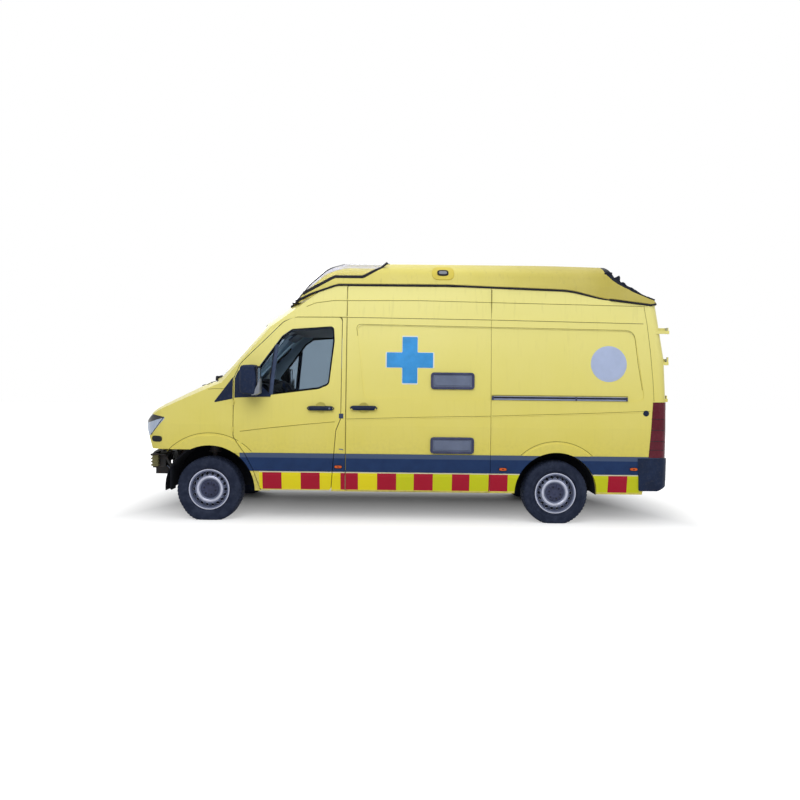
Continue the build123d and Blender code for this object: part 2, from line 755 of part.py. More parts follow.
def make_rear_frame(forms):
    """Rear corner pillars and the header over the rear doors."""
    frame = (forms.left_wall & side_prism(CORNER_SEAM, 0, 1200, -SEAT)) - forms.pod_above_grown
    frame = (frame & block((-5200, 0, 700 + SEAT), (-4000, 1300, 2700))) - rear_opening(MOVING_GAP)
    pocket = side_prism(TAIL_LAMP_OUTLINE, 890 - SEAT, 1300, SEAT) - envelope(26.0 + SEAT)
    frame = frame - pocket
    frame = both(frame)
    for side in (-1, 1):
        for level, foot, _ in REAR_HINGES:
            frame = frame + rear_hinge_leaf(side, level, 1, foot)
    return frame


def rear_hinge_leaf(side, level, outer, reach):
    """Half of a rear door hinge: outer on the pillar, inner with the pin on the door."""
    y = REAR_DOOR_HALF + MOVING_GAP / 2
    low_z = level - REAR_HINGE_HALF if outer > 0 else level + SEAT / 2
    high_z = level - SEAT / 2 if outer > 0 else level + REAR_HINGE_HALF
    low_y = y if outer > 0 else y - 80
    high_y = y + 36 if outer > 0 else y
    foot_y = y + 12 if outer > 0 else y - 80
    leaf = block((REAR_HINGE_X - 4, low_y, low_z), (REAR_HINGE_X + 4, high_y, high_z))
    leaf = leaf + block((REAR_HINGE_X, foot_y, low_z), (REAR_HINGE_X + reach, foot_y + 24, high_z))
    leaf = leaf + post(REAR_HINGE_X, y, low_z, high_z, KNUCKLE_RADIUS)
    if outer > 0:
        leaf = leaf - post(REAR_HINGE_X, y, low_z - 1, high_z + 1, PIN_RADIUS + RUNNING_FIT)
    else:
        leaf = leaf + post(REAR_HINGE_X, y, level - REAR_HINGE_HALF, high_z, PIN_RADIUS)
    return leaf if side > 0 else right_of(leaf)


def make_tail_lamps(forms):
    """Tail lamps in the rear corners."""
    lamp = (envelope(-3.0) & forms.left_half) - envelope(26.0)
    return both(lamp & side_prism(TAIL_LAMP_OUTLINE, 890, 1300))


def make_bumper(forms):
    """Rear bumper with its step."""
    wrap = (envelope(-12.0) - envelope(30.0)) & side_prism(BUMPER_OUTLINE, -1200, 1200)
    step = block((-4905, -620, 560), (-4840, 620, 640))
    return wrap + step


def make_rear_door(forms):
    """Left rear door with its window opening."""
    door = (forms.left_wall & rear_opening(0.0)) - rear_window(0.0)
    for level, _, foot in REAR_HINGES:
        door = door + rear_hinge_leaf(1, level, -1, foot)
    return door


def rear_window(grow):
    """Window opening of the left rear door."""
    rows = ((150.0, 1420.0, 60.0), (770.0, 1420.0, 60.0), (750.0, 2080.0, 80.0), (150.0, 2080.0, 60.0))
    face = Plane.YZ.location * flat(inset(rows, -grow))
    return Pos(-5300, 0, 0) * extrude(face, amount=1000.0, dir=(1, 0, 0))


def make_rear_glass(forms):
    """Glass of the left rear door."""
    return (envelope(10.0) - envelope(10.0 + GLASS)) & rear_window(-SEAT)


def make_pod(forms):
    """Roof pod: a moulded shell over the whole roof."""
    shell = (pod_block(0.0) - pod_block(ROOF_WALL)) & forms.pod_above
    return shell - side_prism(LENS_OUTLINE, -1300, 1300, SEAT)


def make_pod_lens(forms):
    """Clear cover over the lights at the pod's front."""
    shell = (pod_block(0.0) - pod_block(12.0)) & forms.pod_above
    return shell & side_prism(LENS_OUTLINE, -1300, 1300)


def make_floor(forms):
    """Floor pans of the load space and the cab."""
    inside = envelope(WALL + SEAT)
    load = inside & block((-4780, -1200, PAN_LOW_Z), (CAB_REAR_X, 1200, LOAD_FLOOR_Z))
    cab = inside & block((CAB_REAR_X, -1200, PAN_LOW_Z), (FIREWALL_REAR_X - SEAT, 1200, CAB_FLOOR_Z))
    mat = block((MAT_REAR_X, -MAT_HALF, LOAD_FLOOR_Z - 1), (MAT_FRONT_X, MAT_HALF, MAT_TOP_Z))
    pans = load + cab + mat
    for arch in (FRONT_ARCH, REAR_ARCH):
        space = arch_space(arch, LINER_DEPTH + SEAT, ARCH_PLATE_Y[arch] - SEAT)
        pans = pans - space - right_of(space)
    return pans


def make_chassis(forms):
    """Side rails, cross members and outriggers below the floor, with jacking pads."""
    frame = None
    for side in (-1, 1):
        y = side * RAIL_Y
        rail = block((RAIL_REAR_X, y - RAIL_HALF, RAIL_LOW_Z), (RAIL_FRONT_X, y + RAIL_HALF, RAIL_TOP_Z))
        frame = rail if frame is None else frame + rail
    for x in CROSS_MEMBERS:
        frame = frame + block((x - 35, -RAIL_Y, 420), (x + 35, RAIL_Y, 500))
    arms = None
    for x in OUTRIGGERS:
        low = block((x - 35, -930, OUTRIGGER_LOW_Z), (x + 35, 930, 500))
        high = block((x - 35, -RAIL_Y, 500), (x + 35, RAIL_Y, PAN_LOW_Z - SEAT))
        arms = low + high if arms is None else arms + low + high
    frame = frame + (arms & envelope(WALL + SEAT))
    for side in (-1, 1):
        y = side * JACK_PAD_Y
        low = (JACK_PAD_X - 30, y - 42, JACK_PAD_LOW_Z)
        frame = frame + block(low, (JACK_PAD_X + 30, y + 42, OUTRIGGER_LOW_Z + 1))
    return frame


def make_liners(forms):
    """Dark linings of the wheel arches, open for the struts and the rear axle."""
    liners = None
    for arch, skin in ((FRONT_ARCH, SKIN), (REAR_ARCH, WALL)):
        x, radius, _ = arch
        inner_y = ARCH_PLATE_Y[arch]
        outer = bar_y(x, AXLE_Z, inner_y, 990, radius + LINER_DEPTH)
        hollow = bar_y(x, AXLE_Z, inner_y + LINER_WALL, 1000, radius + LINER_DEPTH - LINER_WALL)
        ring = (outer - hollow) - block((x - 700, 0, 0), (x + 700, 1200, 300))
        ring = ring & envelope(skin + SEAT)
        liners = ring if liners is None else liners + ring
    liners = liners - post(0, KINGPIN_Y, 600, 900, 84) - bar_y(-WHEELBASE, AXLE_Z, 600, 700, 160)
    return both(liners)


def make_crash_beam(forms):
    """Bumper beam left bare by the missing bumper cover, on two brackets."""
    ring = post(-CENTRE_TO_NOSE_AXIS, 0, 510, 668, BEAM_RADIUS)
    ring = ring - post(-CENTRE_TO_NOSE_AXIS, 0, 500, 680, BEAM_RADIUS - BEAM_DEPTH)
    beam = ring & block((300, -705, 510), (1200, 705, 668))
    brackets = None
    for side in (-1, 1):
        y = side * RAIL_Y
        bracket = block((RAIL_FRONT_X + SEAT, y - 40, 410), (740, y + 40, 640))
        brackets = bracket if brackets is None else brackets + bracket
    beam = beam + brackets
    return beam - bar_x(TOW_EYE_Y, TOW_EYE_Z, 690, 1000, TOW_EYE_RADIUS)


def make_engine(forms):
    """Engine and gearbox as plain blocks."""
    engine = block((80, -230, 480), (520, 230, 1060))
    gearbox = block((-560, -150, 420), (80, 150, 610))
    mounts = block((220, -RAIL_Y + 36 + SEAT, 480), (300, RAIL_Y - 36 - SEAT, 515))
    return engine + gearbox + mounts


def make_radiator(forms):
    """Radiator behind the grille, standing on the front cross member."""
    return block((535, -330, 500 + SEAT), (590, 330, 1060))


def make_firewall(forms):
    """Wall between the engine bay and the cab, with the pillars of the door hinges."""
    inside = envelope(SKIN + SEAT)
    wall = inside & block((FIREWALL_REAR_X, -1200, 660), (-210, 1200, 1385))
    space = arch_space(FRONT_ARCH, LINER_DEPTH + SEAT, ARCH_PLATE_Y[FRONT_ARCH] - SEAT)
    return (wall - space) - right_of(space)


def make_bulkhead(forms):
    """Wall between the cab and the load space."""
    inside = envelope(WALL + SEAT)
    return inside & block((-1425, -1200, 680 + SEAT), (-1397, 1200, 2490)) - forms.pod_above_grown


def make_dashboard(forms):
    """Dashboard across the cab."""
    dash = side_prism(DASHBOARD, -880, 880) & envelope(WALL + 25)
    column = Pos(0, 0, -COLUMN_LENGTH / 2) * Cylinder(22 + SEAT, COLUMN_LENGTH + 2 * SEAT)
    return dash - STEERING_PLACE * column


def make_steering_wheel(forms):
    """Steering wheel on its column."""
    ring = Torus(190, 15)
    hub = Cylinder(45, 40)
    spokes = Box(360, 30, 14) + Box(30, 360, 14)
    column = Pos(0, 0, -COLUMN_LENGTH / 2) * Cylinder(22, COLUMN_LENGTH)
    return STEERING_PLACE * (ring + hub + spokes + column)


def make_seats(forms):
    """Driver's and passenger's seats."""
    seats = None
    for y in (430.0, -430.0):
        cushion = fillet(block((-1210, y - 240, 980), (-740, y + 240, 1100)).edges(), 35)
        back = side_prism(SEAT_BACK, y - 235, y + 235)
        head = fillet(block((-1390, y - 130, 1420), (-1325, y + 130, 1620)).edges(), 25)
        base = block((-1150, y - 200, CAB_FLOOR_Z + SEAT), (-820, y + 200, 985))
        seat = cushion + back + head + base
        seats = seat if seats is None else seats + seat
    return seats


def make_underbody(forms):
    """Fuel tank and exhaust, hung below the floor."""
    tank = fillet(block((-1340, 470, 330), (-715, 830, 440 - SEAT)).edges().filter_by(Axis.X), 30)
    pipe = bar_x(PIPE_Y, PIPE_Z, -3150, -700, 28) + bar_x(PIPE_Y, PIPE_Z, -2000, -1500, 56)
    for x in (-2900, -1350):
        pipe = pipe + block((x - 8, PIPE_Y - 10, PIPE_Z), (x + 8, PIPE_Y + 10, 440 - SEAT))
    return tank + pipe


def make_rear_axle(forms):
    """Rear axle with its differential and leaf springs."""
    beam = bar_y(-WHEELBASE, AXLE_Z, -740, 740, 48)
    diff = bar_y(-WHEELBASE, AXLE_Z, -110, 110, 150)
    spindle = bar_y(-WHEELBASE, AXLE_Z, -SPINDLE_END, SPINDLE_END, SPINDLE_RADIUS)
    flange = bar_y(-WHEELBASE, AXLE_Z, -780, 780, 95)
    flange = flange - bar_y(-WHEELBASE, AXLE_Z, -740, 740, 200)
    axle = beam + diff + spindle + flange
    for side in (-1, 1):
        y = side * SPRING_Y
        rows = (
            (-WHEELBASE - 640.0, 392.0, 0.0),
            (-WHEELBASE - 560.0, 372.0, 200.0),
            (-WHEELBASE - 120.0, 356.0, 200.0),
            (-WHEELBASE + 120.0, 356.0, 200.0),
            (-WHEELBASE + 560.0, 372.0, 200.0),
            (-WHEELBASE + 640.0, 392.0, 0.0),
            (-WHEELBASE + 640.0, 414.0, 0.0),
            (-WHEELBASE + 560.0, 396.0, 200.0),
            (-WHEELBASE + 120.0, 386.0, 200.0),
            (-WHEELBASE - 120.0, 386.0, 200.0),
            (-WHEELBASE - 560.0, 396.0, 200.0),
            (-WHEELBASE - 640.0, 414.0, 0.0),
        )
        axle = axle + side_prism(rows, y - 35, y + 35)
        for end in (-1, 1):
            x = -WHEELBASE + end * 640
            low, high = min(y, side * (RAIL_Y + 36 + SEAT)), max(y, side * (RAIL_Y + 36 + SEAT))
            axle = axle + block((x - 40, low - 30 * (side < 0), 390), (x + 40, high + 30 * (side > 0), 470))
    return axle


def make_front_suspension(forms):
    """Cross member, lower arms and struts of the front wheels."""
    carrier = block((-70, -440, 250), (70, 440, 400 - SEAT))
    parts = carrier
    for side in (-1, 1):
        y = side * KINGPIN_Y
        low, high = min(side * 420, y), max(side * 420, y)
        arm = block((-32, low, 180), (32, high, 215))
        arm = arm + block((-32, side * 445 - 25, 180), (32, side * 445 + 25, 300))
        eye = post(0, y, 180, 215, 34)
        parts = parts + arm + eye
        strut = post(0, y, 470, 695, 28) + post(0, y, 695, 715, 70) + post(0, y, 715, 810, 55)
        parts = parts + strut
    bores = None
    for side in (-1, 1):
        y = side * KINGPIN_Y
        bore = post(0, y, 150, 250, 14 + RUNNING_FIT) + post(0, y, 440, 520, 14 + RUNNING_FIT)
        bores = bore if bores is None else bores + bore
    towers = None
    for side in (-1, 1):
        y = side * KINGPIN_Y
        low, high = min(y, side * (RAIL_Y - 20)), max(y, side * (RAIL_Y - 20))
        tower = block((-60, low, 800), (60, high, 830))
        leg_y = side * RAIL_Y
        leg = block((-60, leg_y - RAIL_HALF, RAIL_TOP_Z + SEAT), (60, leg_y + RAIL_HALF, 830))
        tower = tower + leg
        towers = tower if towers is None else towers + tower
    return (parts + towers) - bores


def make_knuckle():
    """Left front knuckle: kingpin and spindle."""
    upright = post(0, KINGPIN_Y, 215 + SEAT, 470 - SEAT, 34)
    pins = post(0, KINGPIN_Y, 182, 500, 14)
    arm = bar_y(0, AXLE_Z, KINGPIN_Y, 780, 48)
    flange = bar_y(0, AXLE_Z, 770, 784, 90)
    return upright + pins + arm + flange + bar_y(0, AXLE_Z, KINGPIN_Y, SPINDLE_END, SPINDLE_RADIUS)


def make_tyre():
    """Tyre round the Y axis, its middle at the origin."""
    half = TYRE_WIDTH / 2
    rows = (
        (BEAD_RADIUS + SEAT, -half + 27, 0.0),
        (RIM_RADIUS + 1, -half + 26, 0.0),
        (RIM_RADIUS + 12, -half + 14, 12.0),
        (285.0, -half, 60.0),
        (TYRE_RADIUS - 6, -half + 18, 26.0),
        (TYRE_RADIUS, 0.0, 900.0),
        (TYRE_RADIUS - 6, half - 18, 26.0),
        (285.0, half, 60.0),
        (RIM_RADIUS + 12, half - 14, 12.0),
        (RIM_RADIUS + 1, half - 26, 0.0),
        (BEAD_RADIUS + SEAT, half - 27, 0.0),
    )
    return Rot(-90, 0, 0) * revolve(Plane.XZ.location * flat(rows), Axis.Z)


def soft_foot():
    """Bulge at the foot of the front left tyre, which has lost its air."""
    foot = fillet(block((-188, TRACK_HALF - 112, -40), (188, TRACK_HALF + 136, 74)).edges(), 34)
    return foot - bar_y(0, AXLE_Z, 500, 1200, RIM_RADIUS + 14)


def make_rim():
    """Steel wheel with its hub round the Y axis, outer face towards +Y."""
    half = TYRE_WIDTH / 2 - 18
    rows = (
        (RIM_RADIUS, -half - 4, 0.0),
        (RIM_RADIUS, -half + 8, 0.0),
        (BEAD_RADIUS, -half + 8, 0.0),
        (BEAD_RADIUS, half - 8, 0.0),
        (RIM_RADIUS, half - 8, 0.0),
        (RIM_RADIUS, half + 4, 0.0),
        (BEAD_RADIUS - 10, half + 4, 0.0),
        (BEAD_RADIUS - 14, -half - 4, 0.0),
    )
    barrel = Rot(-90, 0, 0) * revolve(Plane.XZ.location * flat(rows), Axis.Z)
    disc_rows = (
        (0.0, 30.0, 0.0),
        (92.0, 30.0, 10.0),
        (112.0, 58.0, 10.0),
        (150.0, 62.0, 10.0),
        (192.0, 34.0, 0.0),
        (192.0, 46.0, 0.0),
        (152.0, 74.0, 12.0),
        (104.0, 70.0, 12.0),
        (84.0, 44.0, 10.0),
        (0.0, 44.0, 0.0),
    )
    disc = Rot(-90, 0, 0) * revolve(Plane.XZ.location * flat(disc_rows), Axis.Z)
    hub = bar_y(0, 0, -50, 45, 75)
    wheel = barrel + disc + hub
    for index in range(VENT_COUNT):
        angle = 360.0 * index / VENT_COUNT
        wheel = wheel - Rot(0, angle, 0) * bar_y(VENT_RADIUS, 0, 20, 120, VENT_HOLE)
    return wheel - bar_y(0, 0, -60, SPINDLE_END - TRACK_HALF + 4, SPINDLE_RADIUS + RUNNING_FIT)


def main():
    """Build every piece and write it to parts."""
    forms = Forms()
    pieces = {}
    pieces["wings"] = make_wings(forms)
    pieces["front_panel"] = make_front_panel(forms)
    pieces["grille"] = make_grille(forms)
    pieces["headlamps"] = make_lamps(forms)
    pieces["lamp_housings"] = make_lamp_housings(forms)
    pieces["bonnet"] = make_bonnet(forms)
    pieces["cowl"] = make_cowl(forms)
    pieces["cab_frame"] = make_cab_frame(forms)
    pieces["windscreen"] = make_windscreen(forms)
    door = make_cab_door(forms)
    glass = make_cab_glass(forms)
    door_mirror = make_mirror()
    side = make_side(forms)
    rear_door = make_rear_door(forms)
    rear_glass = make_rear_glass(forms)
    knuckle = make_knuckle()
    for name, left in (
        ("cab_door", door),
        ("cab_glass", glass),
        ("mirror", door_mirror),
        ("side", side),
        ("rear_door", rear_door),
        ("rear_glass", rear_glass),
        ("knuckle", knuckle),
    ):
        pieces[name + "_left"] = left
        pieces[name + "_right"] = right_of(left)
    pieces["sliding_doors"] = make_sliding_doors(forms)
    pieces["door_rails"] = make_rails(forms)
    pieces["door_covers"] = make_covers(forms)
    pieces["rear_frame"] = make_rear_frame(forms)
    pieces["tail_lamps"] = make_tail_lamps(forms)
    pieces["rear_bumper"] = make_bumper(forms)
    pieces["roof_pod"] = make_pod(forms)
    pieces["pod_lens"] = make_pod_lens(forms)
    pieces["floor"] = make_floor(forms)
    pieces["chassis"] = make_chassis(forms)
    pieces["arch_liners"] = make_liners(forms)
    pieces["crash_beam"] = make_crash_beam(forms)
    pieces["engine"] = make_engine(forms)
    pieces["radiator"] = make_radiator(forms)
    pieces["firewall"] = make_firewall(forms)
    pieces["bulkhead"] = make_bulkhead(forms)
    pieces["dashboard"] = make_dashboard(forms)
    pieces["steering_wheel"] = make_steering_wheel(forms)
    pieces["seats"] = make_seats(forms)
    pieces["underbody"] = make_underbody(forms)
    pieces["rear_axle"] = make_rear_axle(forms)
    pieces["front_suspension"] = make_front_suspension(forms)
    tyre = make_tyre()
    rim = make_rim()
    ground = block((-6000, -2000, -200), (3000, 2000, 0))
    for name, x, side_sign in WHEELS:
        for kind, piece in (("tyre", tyre), ("rim", rim)):
            placed = piece if side_sign > 0 else right_of(piece)
            placed = Pos(x, side_sign * TRACK_HALF, AXLE_Z) * placed
            if kind == "tyre":
                if name == "front_left":
                    placed = placed + soft_foot()
                placed = placed - ground
            pieces[kind + "_" + name] = placed
    return pieces


if __name__ == "__main__":
    os.makedirs("parts", exist_ok=True)
    pieces = main()
    boxes = [piece.bounding_box() for piece in pieces.values()]
    shift = -(min(box.min.X for box in boxes) + max(box.max.X for box in boxes)) / 2
    print("front axle X", shift)
    for name, piece in pieces.items():
        export_step(Pos(shift, 0, 0) * piece, "parts/" + name + ".step")
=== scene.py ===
import math
import random

import bmesh
import bpy
from mathutils import Matrix, Vector
from mathutils.bvhtree import BVHTree


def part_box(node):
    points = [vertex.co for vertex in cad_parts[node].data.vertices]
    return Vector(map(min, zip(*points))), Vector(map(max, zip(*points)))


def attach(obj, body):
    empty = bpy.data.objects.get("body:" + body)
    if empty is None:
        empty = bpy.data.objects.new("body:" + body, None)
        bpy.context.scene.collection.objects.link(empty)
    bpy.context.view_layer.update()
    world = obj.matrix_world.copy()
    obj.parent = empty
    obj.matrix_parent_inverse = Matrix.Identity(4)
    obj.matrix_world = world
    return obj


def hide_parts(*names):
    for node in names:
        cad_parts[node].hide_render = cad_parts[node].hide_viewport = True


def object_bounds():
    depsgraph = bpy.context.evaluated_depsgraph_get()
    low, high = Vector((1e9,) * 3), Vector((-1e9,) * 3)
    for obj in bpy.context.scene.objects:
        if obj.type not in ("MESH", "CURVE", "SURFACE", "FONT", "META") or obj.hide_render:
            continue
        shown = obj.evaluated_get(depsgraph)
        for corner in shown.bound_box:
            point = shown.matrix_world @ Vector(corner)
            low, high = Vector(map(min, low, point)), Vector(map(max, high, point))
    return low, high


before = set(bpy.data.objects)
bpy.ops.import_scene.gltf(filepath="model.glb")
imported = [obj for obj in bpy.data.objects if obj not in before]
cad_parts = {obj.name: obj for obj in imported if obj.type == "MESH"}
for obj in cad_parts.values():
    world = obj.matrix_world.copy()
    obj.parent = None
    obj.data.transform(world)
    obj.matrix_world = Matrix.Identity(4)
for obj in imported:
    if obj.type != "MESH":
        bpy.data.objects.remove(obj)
CAD_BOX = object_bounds()
MM = 0.001
FRONT_LOW, FRONT_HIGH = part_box("rim_front_left")
# Where the front axle stands in the frame
X0 = (FRONT_LOW[0] + FRONT_HIGH[0]) / 2
# Millimetres: axles above the ground, axles apart, wheels out from the middle
AXLE_HEIGHT = 318
WHEELBASE = 3665
WHEEL_OUT = 855
SIDES = ((1, "left"), (-1, "right"))


def at(x, y, z):
    """Point in the frame from millimetres counted from the front axle."""
    return Vector((X0 + x * MM, y * MM, z * MM))


# Camera: place, tilt and turn fitted to the photograph
CAMERA_PLACE = (-2010, 8350, 1500)
CAMERA_PITCH = math.radians(-1.65)
CAMERA_ROLL = math.radians(0.65)
SENSOR_WIDTH = 36.0
# Focal length over picture width
FOCAL_SHARE = 701.4 / 800


def place_camera():
    """Camera that looks square on the left side."""
    ahead = Vector((0.0, -math.cos(CAMERA_PITCH), math.sin(CAMERA_PITCH)))
    right = Vector((-1.0, 0.0, 0.0))
    up = right.cross(ahead)
    across = right * math.cos(CAMERA_ROLL) + up * math.sin(CAMERA_ROLL)
    above = up * math.cos(CAMERA_ROLL) - right * math.sin(CAMERA_ROLL)
    data = bpy.data.cameras.new("camera")
    data.sensor_width = SENSOR_WIDTH
    data.lens = FOCAL_SHARE * SENSOR_WIDTH
    data.clip_end = 100
    camera = bpy.data.objects.new("camera", data)
    turn = Matrix((across, above, -ahead)).transposed().to_4x4()
    camera.matrix_world = Matrix.Translation(at(*CAMERA_PLACE)) @ turn
    bpy.context.collection.objects.link(camera)
    bpy.context.scene.camera = camera


# Materials
class Shader:
    """A node material under construction."""

    def __init__(self, name, **settings):
        self.material = bpy.data.materials.new(name)
        self.material.use_nodes = True
        self.tree = self.material.node_tree
        self.surface = self.tree.nodes["Principled BSDF"]
        for key, value in settings.items():
            self.surface.inputs[key.replace("_", " ")].default_value = value
        self.coords = self.tree.nodes.new("ShaderNodeTexCoord")
        self.place = self.coords.outputs["Object"]
        split = self.tree.nodes.new("ShaderNodeSeparateXYZ")
        self.tree.links.new(self.place, split.inputs[0])
        self.x, self.y, self.z = split.outputs

    def put(self, socket, value):
        if isinstance(value, bpy.types.NodeSocket):
            self.tree.links.new(value, socket)
        else:
            socket.default_value = value

    def math(self, kind, first, second=0.0, third=0.0, clamp=False):
        node = self.tree.nodes.new("ShaderNodeMath")
        node.operation = kind
        node.use_clamp = clamp
        for socket, value in zip(node.inputs, (first, second, third)):
            self.put(socket, value)
        return node.outputs[0]

    def over(self, value, limit):
        return self.math("GREATER_THAN", value, limit)

    def under(self, value, limit):
        return self.math("LESS_THAN", value, limit)

    def all_of(self, *shares):
        """Product of shares."""
        total = shares[0]
        for share in shares[1:]:
            total = self.math("MULTIPLY", total, share)
        return total

    def between(self, value, low, high, soft=0.0005):
        """1 where value is between low and high."""
        rising = self.spread(value, low - soft, low + soft)
        return self.all_of(rising, self.spread(value, high - soft, high + soft, 1.0, 0.0))

    def ramp(self, value, stops, stepped=False):
        """Colours (place, colour) over a value from 0 to 1."""
        node = self.tree.nodes.new("ShaderNodeValToRGB")
        if stepped:
            node.color_ramp.interpolation = "CONSTANT"
        for index, (place, color) in enumerate(stops):
            elements = node.color_ramp.elements
            stop = elements[index] if index < 2 else elements.new(place)
            stop.position = place
            stop.color = (*color, 1.0)
        self.tree.links.new(value, node.inputs[0])
        return node.outputs[0]

    def noise(self, scale, detail=3.0, rough=0.55, stretch=(1, 1, 1)):
        node = self.tree.nodes.new("ShaderNodeTexNoise")
        node.inputs["Scale"].default_value = scale
        node.inputs["Detail"].default_value = detail
        node.inputs["Roughness"].default_value = rough
        mapping = self.tree.nodes.new("ShaderNodeMapping")
        mapping.inputs["Scale"].default_value = stretch
        self.tree.links.new(self.place, mapping.inputs[0])
        self.tree.links.new(mapping.outputs[0], node.inputs["Vector"])
        return node.outputs[0]

    def spread(self, value, low, high, out_low=0.0, out_high=1.0):
        node = self.tree.nodes.new("ShaderNodeMapRange")
        self.put(node.inputs[0], value)
        for socket, number in zip(node.inputs[1:5], (low, high, out_low, out_high)):
            socket.default_value = number
        return node.outputs[0]

    def mix(self, share, first, second, kind="MIX"):
        node = self.tree.nodes.new("ShaderNodeMix")
        node.data_type = "RGBA"
        node.blend_type = kind
        self.put(node.inputs[0], share)
        self.put(node.inputs[6], first if isinstance(first, bpy.types.NodeSocket) else (*first, 1.0))
        self.put(node.inputs[7], second if isinstance(second, bpy.types.NodeSocket) else (*second, 1.0))
        return node.outputs[2]

    def bump(self, height, strength, distance):
        node = self.tree.nodes.new("ShaderNodeBump")
        node.inputs["Strength"].default_value = strength
        node.inputs["Distance"].default_value = distance
        self.tree.links.new(height, node.inputs["Height"])
        self.tree.links.new(node.outputs[0], self.surface.inputs["Normal"])

    def finish(self, color, rough=None):
        self.put(self.surface.inputs["Base Color"],
                 color if isinstance(color, bpy.types.NodeSocket) else (*color, 1.0))
        if rough is not None:
            self.put(self.surface.inputs["Roughness"], rough)
        return self.material


# Body yellow, and the lighter copy it fades to towards the top: painted light from above
YELLOW = (0.72, 0.62, 0.115)
YELLOW_LIT_TOP = (0.82, 0.76, 0.27)
DARK_BLUE = (0.004, 0.022, 0.086)
STRIPE_RED = (0.38, 0.002, 0.024)
STRIPE_LIME = (0.58, 0.60, 0.010)
STRIPE_YELLOW = (0.80, 0.68, 0.012)
GRIME = (0.20, 0.17, 0.10)
STRIPE_CHANGE = -1900
STRIPE_END = -400
LINE_CREAM = (0.84, 0.80, 0.55)
# Pillar lining, far paler than the trim's grey-blue: painted light on the pillars
LIT_LINING = (0.74, 0.88, 1.0)
CAB_SHADE = (0.030, 0.036, 0.046)
WARD_WHITE = (0.42, 0.43, 0.42)
# Metres: heights of the livery's rows, and where they end along the body
FLANK_Y = 0.947
STRIPE_Z = (0.333, 0.512)
STRIPE_X = (-4.545, -0.535)
LINE_Z = (0.5125, 0.5245)
BAND_Z = (0.5245, 0.7165)
# Heights where the band's upper facet is painted lighter: painted highlight
BAND_LIT_TOP_Z = (0.664, 0.672)
BAND_FRONT = -0.329
PILLAR_X = -0.86
PILLAR_Z = (1.47, 2.05)
WARD_FRONT = -1.38
# Upper edge of the yellow moulding where the roof's rear cover is torn off
REAR_EDGE = ((-4184, 2664), (-4220, 2618), (-4264, 2577), (-4315, 2540), (-4367, 2512), (-4430, 2482),
             (-4492, 2455), (-4600, 2412), (-4700, 2372))
# Where each block of the stripe starts, in millimetres from the front axle, and whether it is red
STRIPE_BLOCKS = (
    (-4700, False), (-4429, True), (-4217, False), (-3239, False), (-3165, True), (-2958, False),
    (-2766, True), (-2570, False), (-2377, True), (-2175, False), (-1981, True), (-1789, False),
    (-1583, True), (-1393, False), (-1181, True), (-985, False), (-783, True), (-576, False),
)


def weathered(shader, color, strength=1.0):
    """Colour with soft blotches, rain streaks and road dirt towards the sills."""
    blotch = shader.spread(shader.noise(2.2, 4.0), 0.35, 0.7)
    color = shader.mix(shader.all_of(blotch, 0.12 * strength), color, (0.84, 0.76, 0.34))
    streak = shader.spread(shader.noise(34.0, 4.0, 0.6, (1, 1, 0.05)), 0.56, 0.80)
    high = shader.spread(shader.z, 1.7, 2.5)
    streak = shader.all_of(streak, shader.math("MULTIPLY_ADD", high, 0.10, 0.05))
    color = shader.mix(shader.all_of(streak, strength), color, GRIME)
    low = shader.spread(shader.z, 0.95, 0.30)
    speck = shader.spread(shader.noise(26.0, 6.0, 0.7), 0.42, 0.75)
    return shader.mix(shader.all_of(low, speck, 0.45 * strength), color, GRIME)


def inner_faces(shader):
    """1 on faces that look into the cab or the load space."""
    split = shader.tree.nodes.new("ShaderNodeSeparateXYZ")
    shader.tree.links.new(shader.coords.outputs["Normal"], split.inputs[0])
    x, y, z = split.outputs
    side = shader.under(shader.all_of(y, shader.y), -0.25)
    roof = shader.all_of(shader.under(z, -0.6), shader.over(shader.z, 1.7))
    back = shader.all_of(shader.over(x, 0.5), shader.under(shader.x, X0 - 4.6))
    front = shader.all_of(shader.under(x, -0.35), shader.over(shader.x, X0 - 1.2),
                          shader.over(shader.z, PILLAR_Z[0]))
    total = shader.math("ADD", shader.math("ADD", side, roof), shader.math("ADD", back, front))
    return shader.math("MINIMUM", total, 1.0)


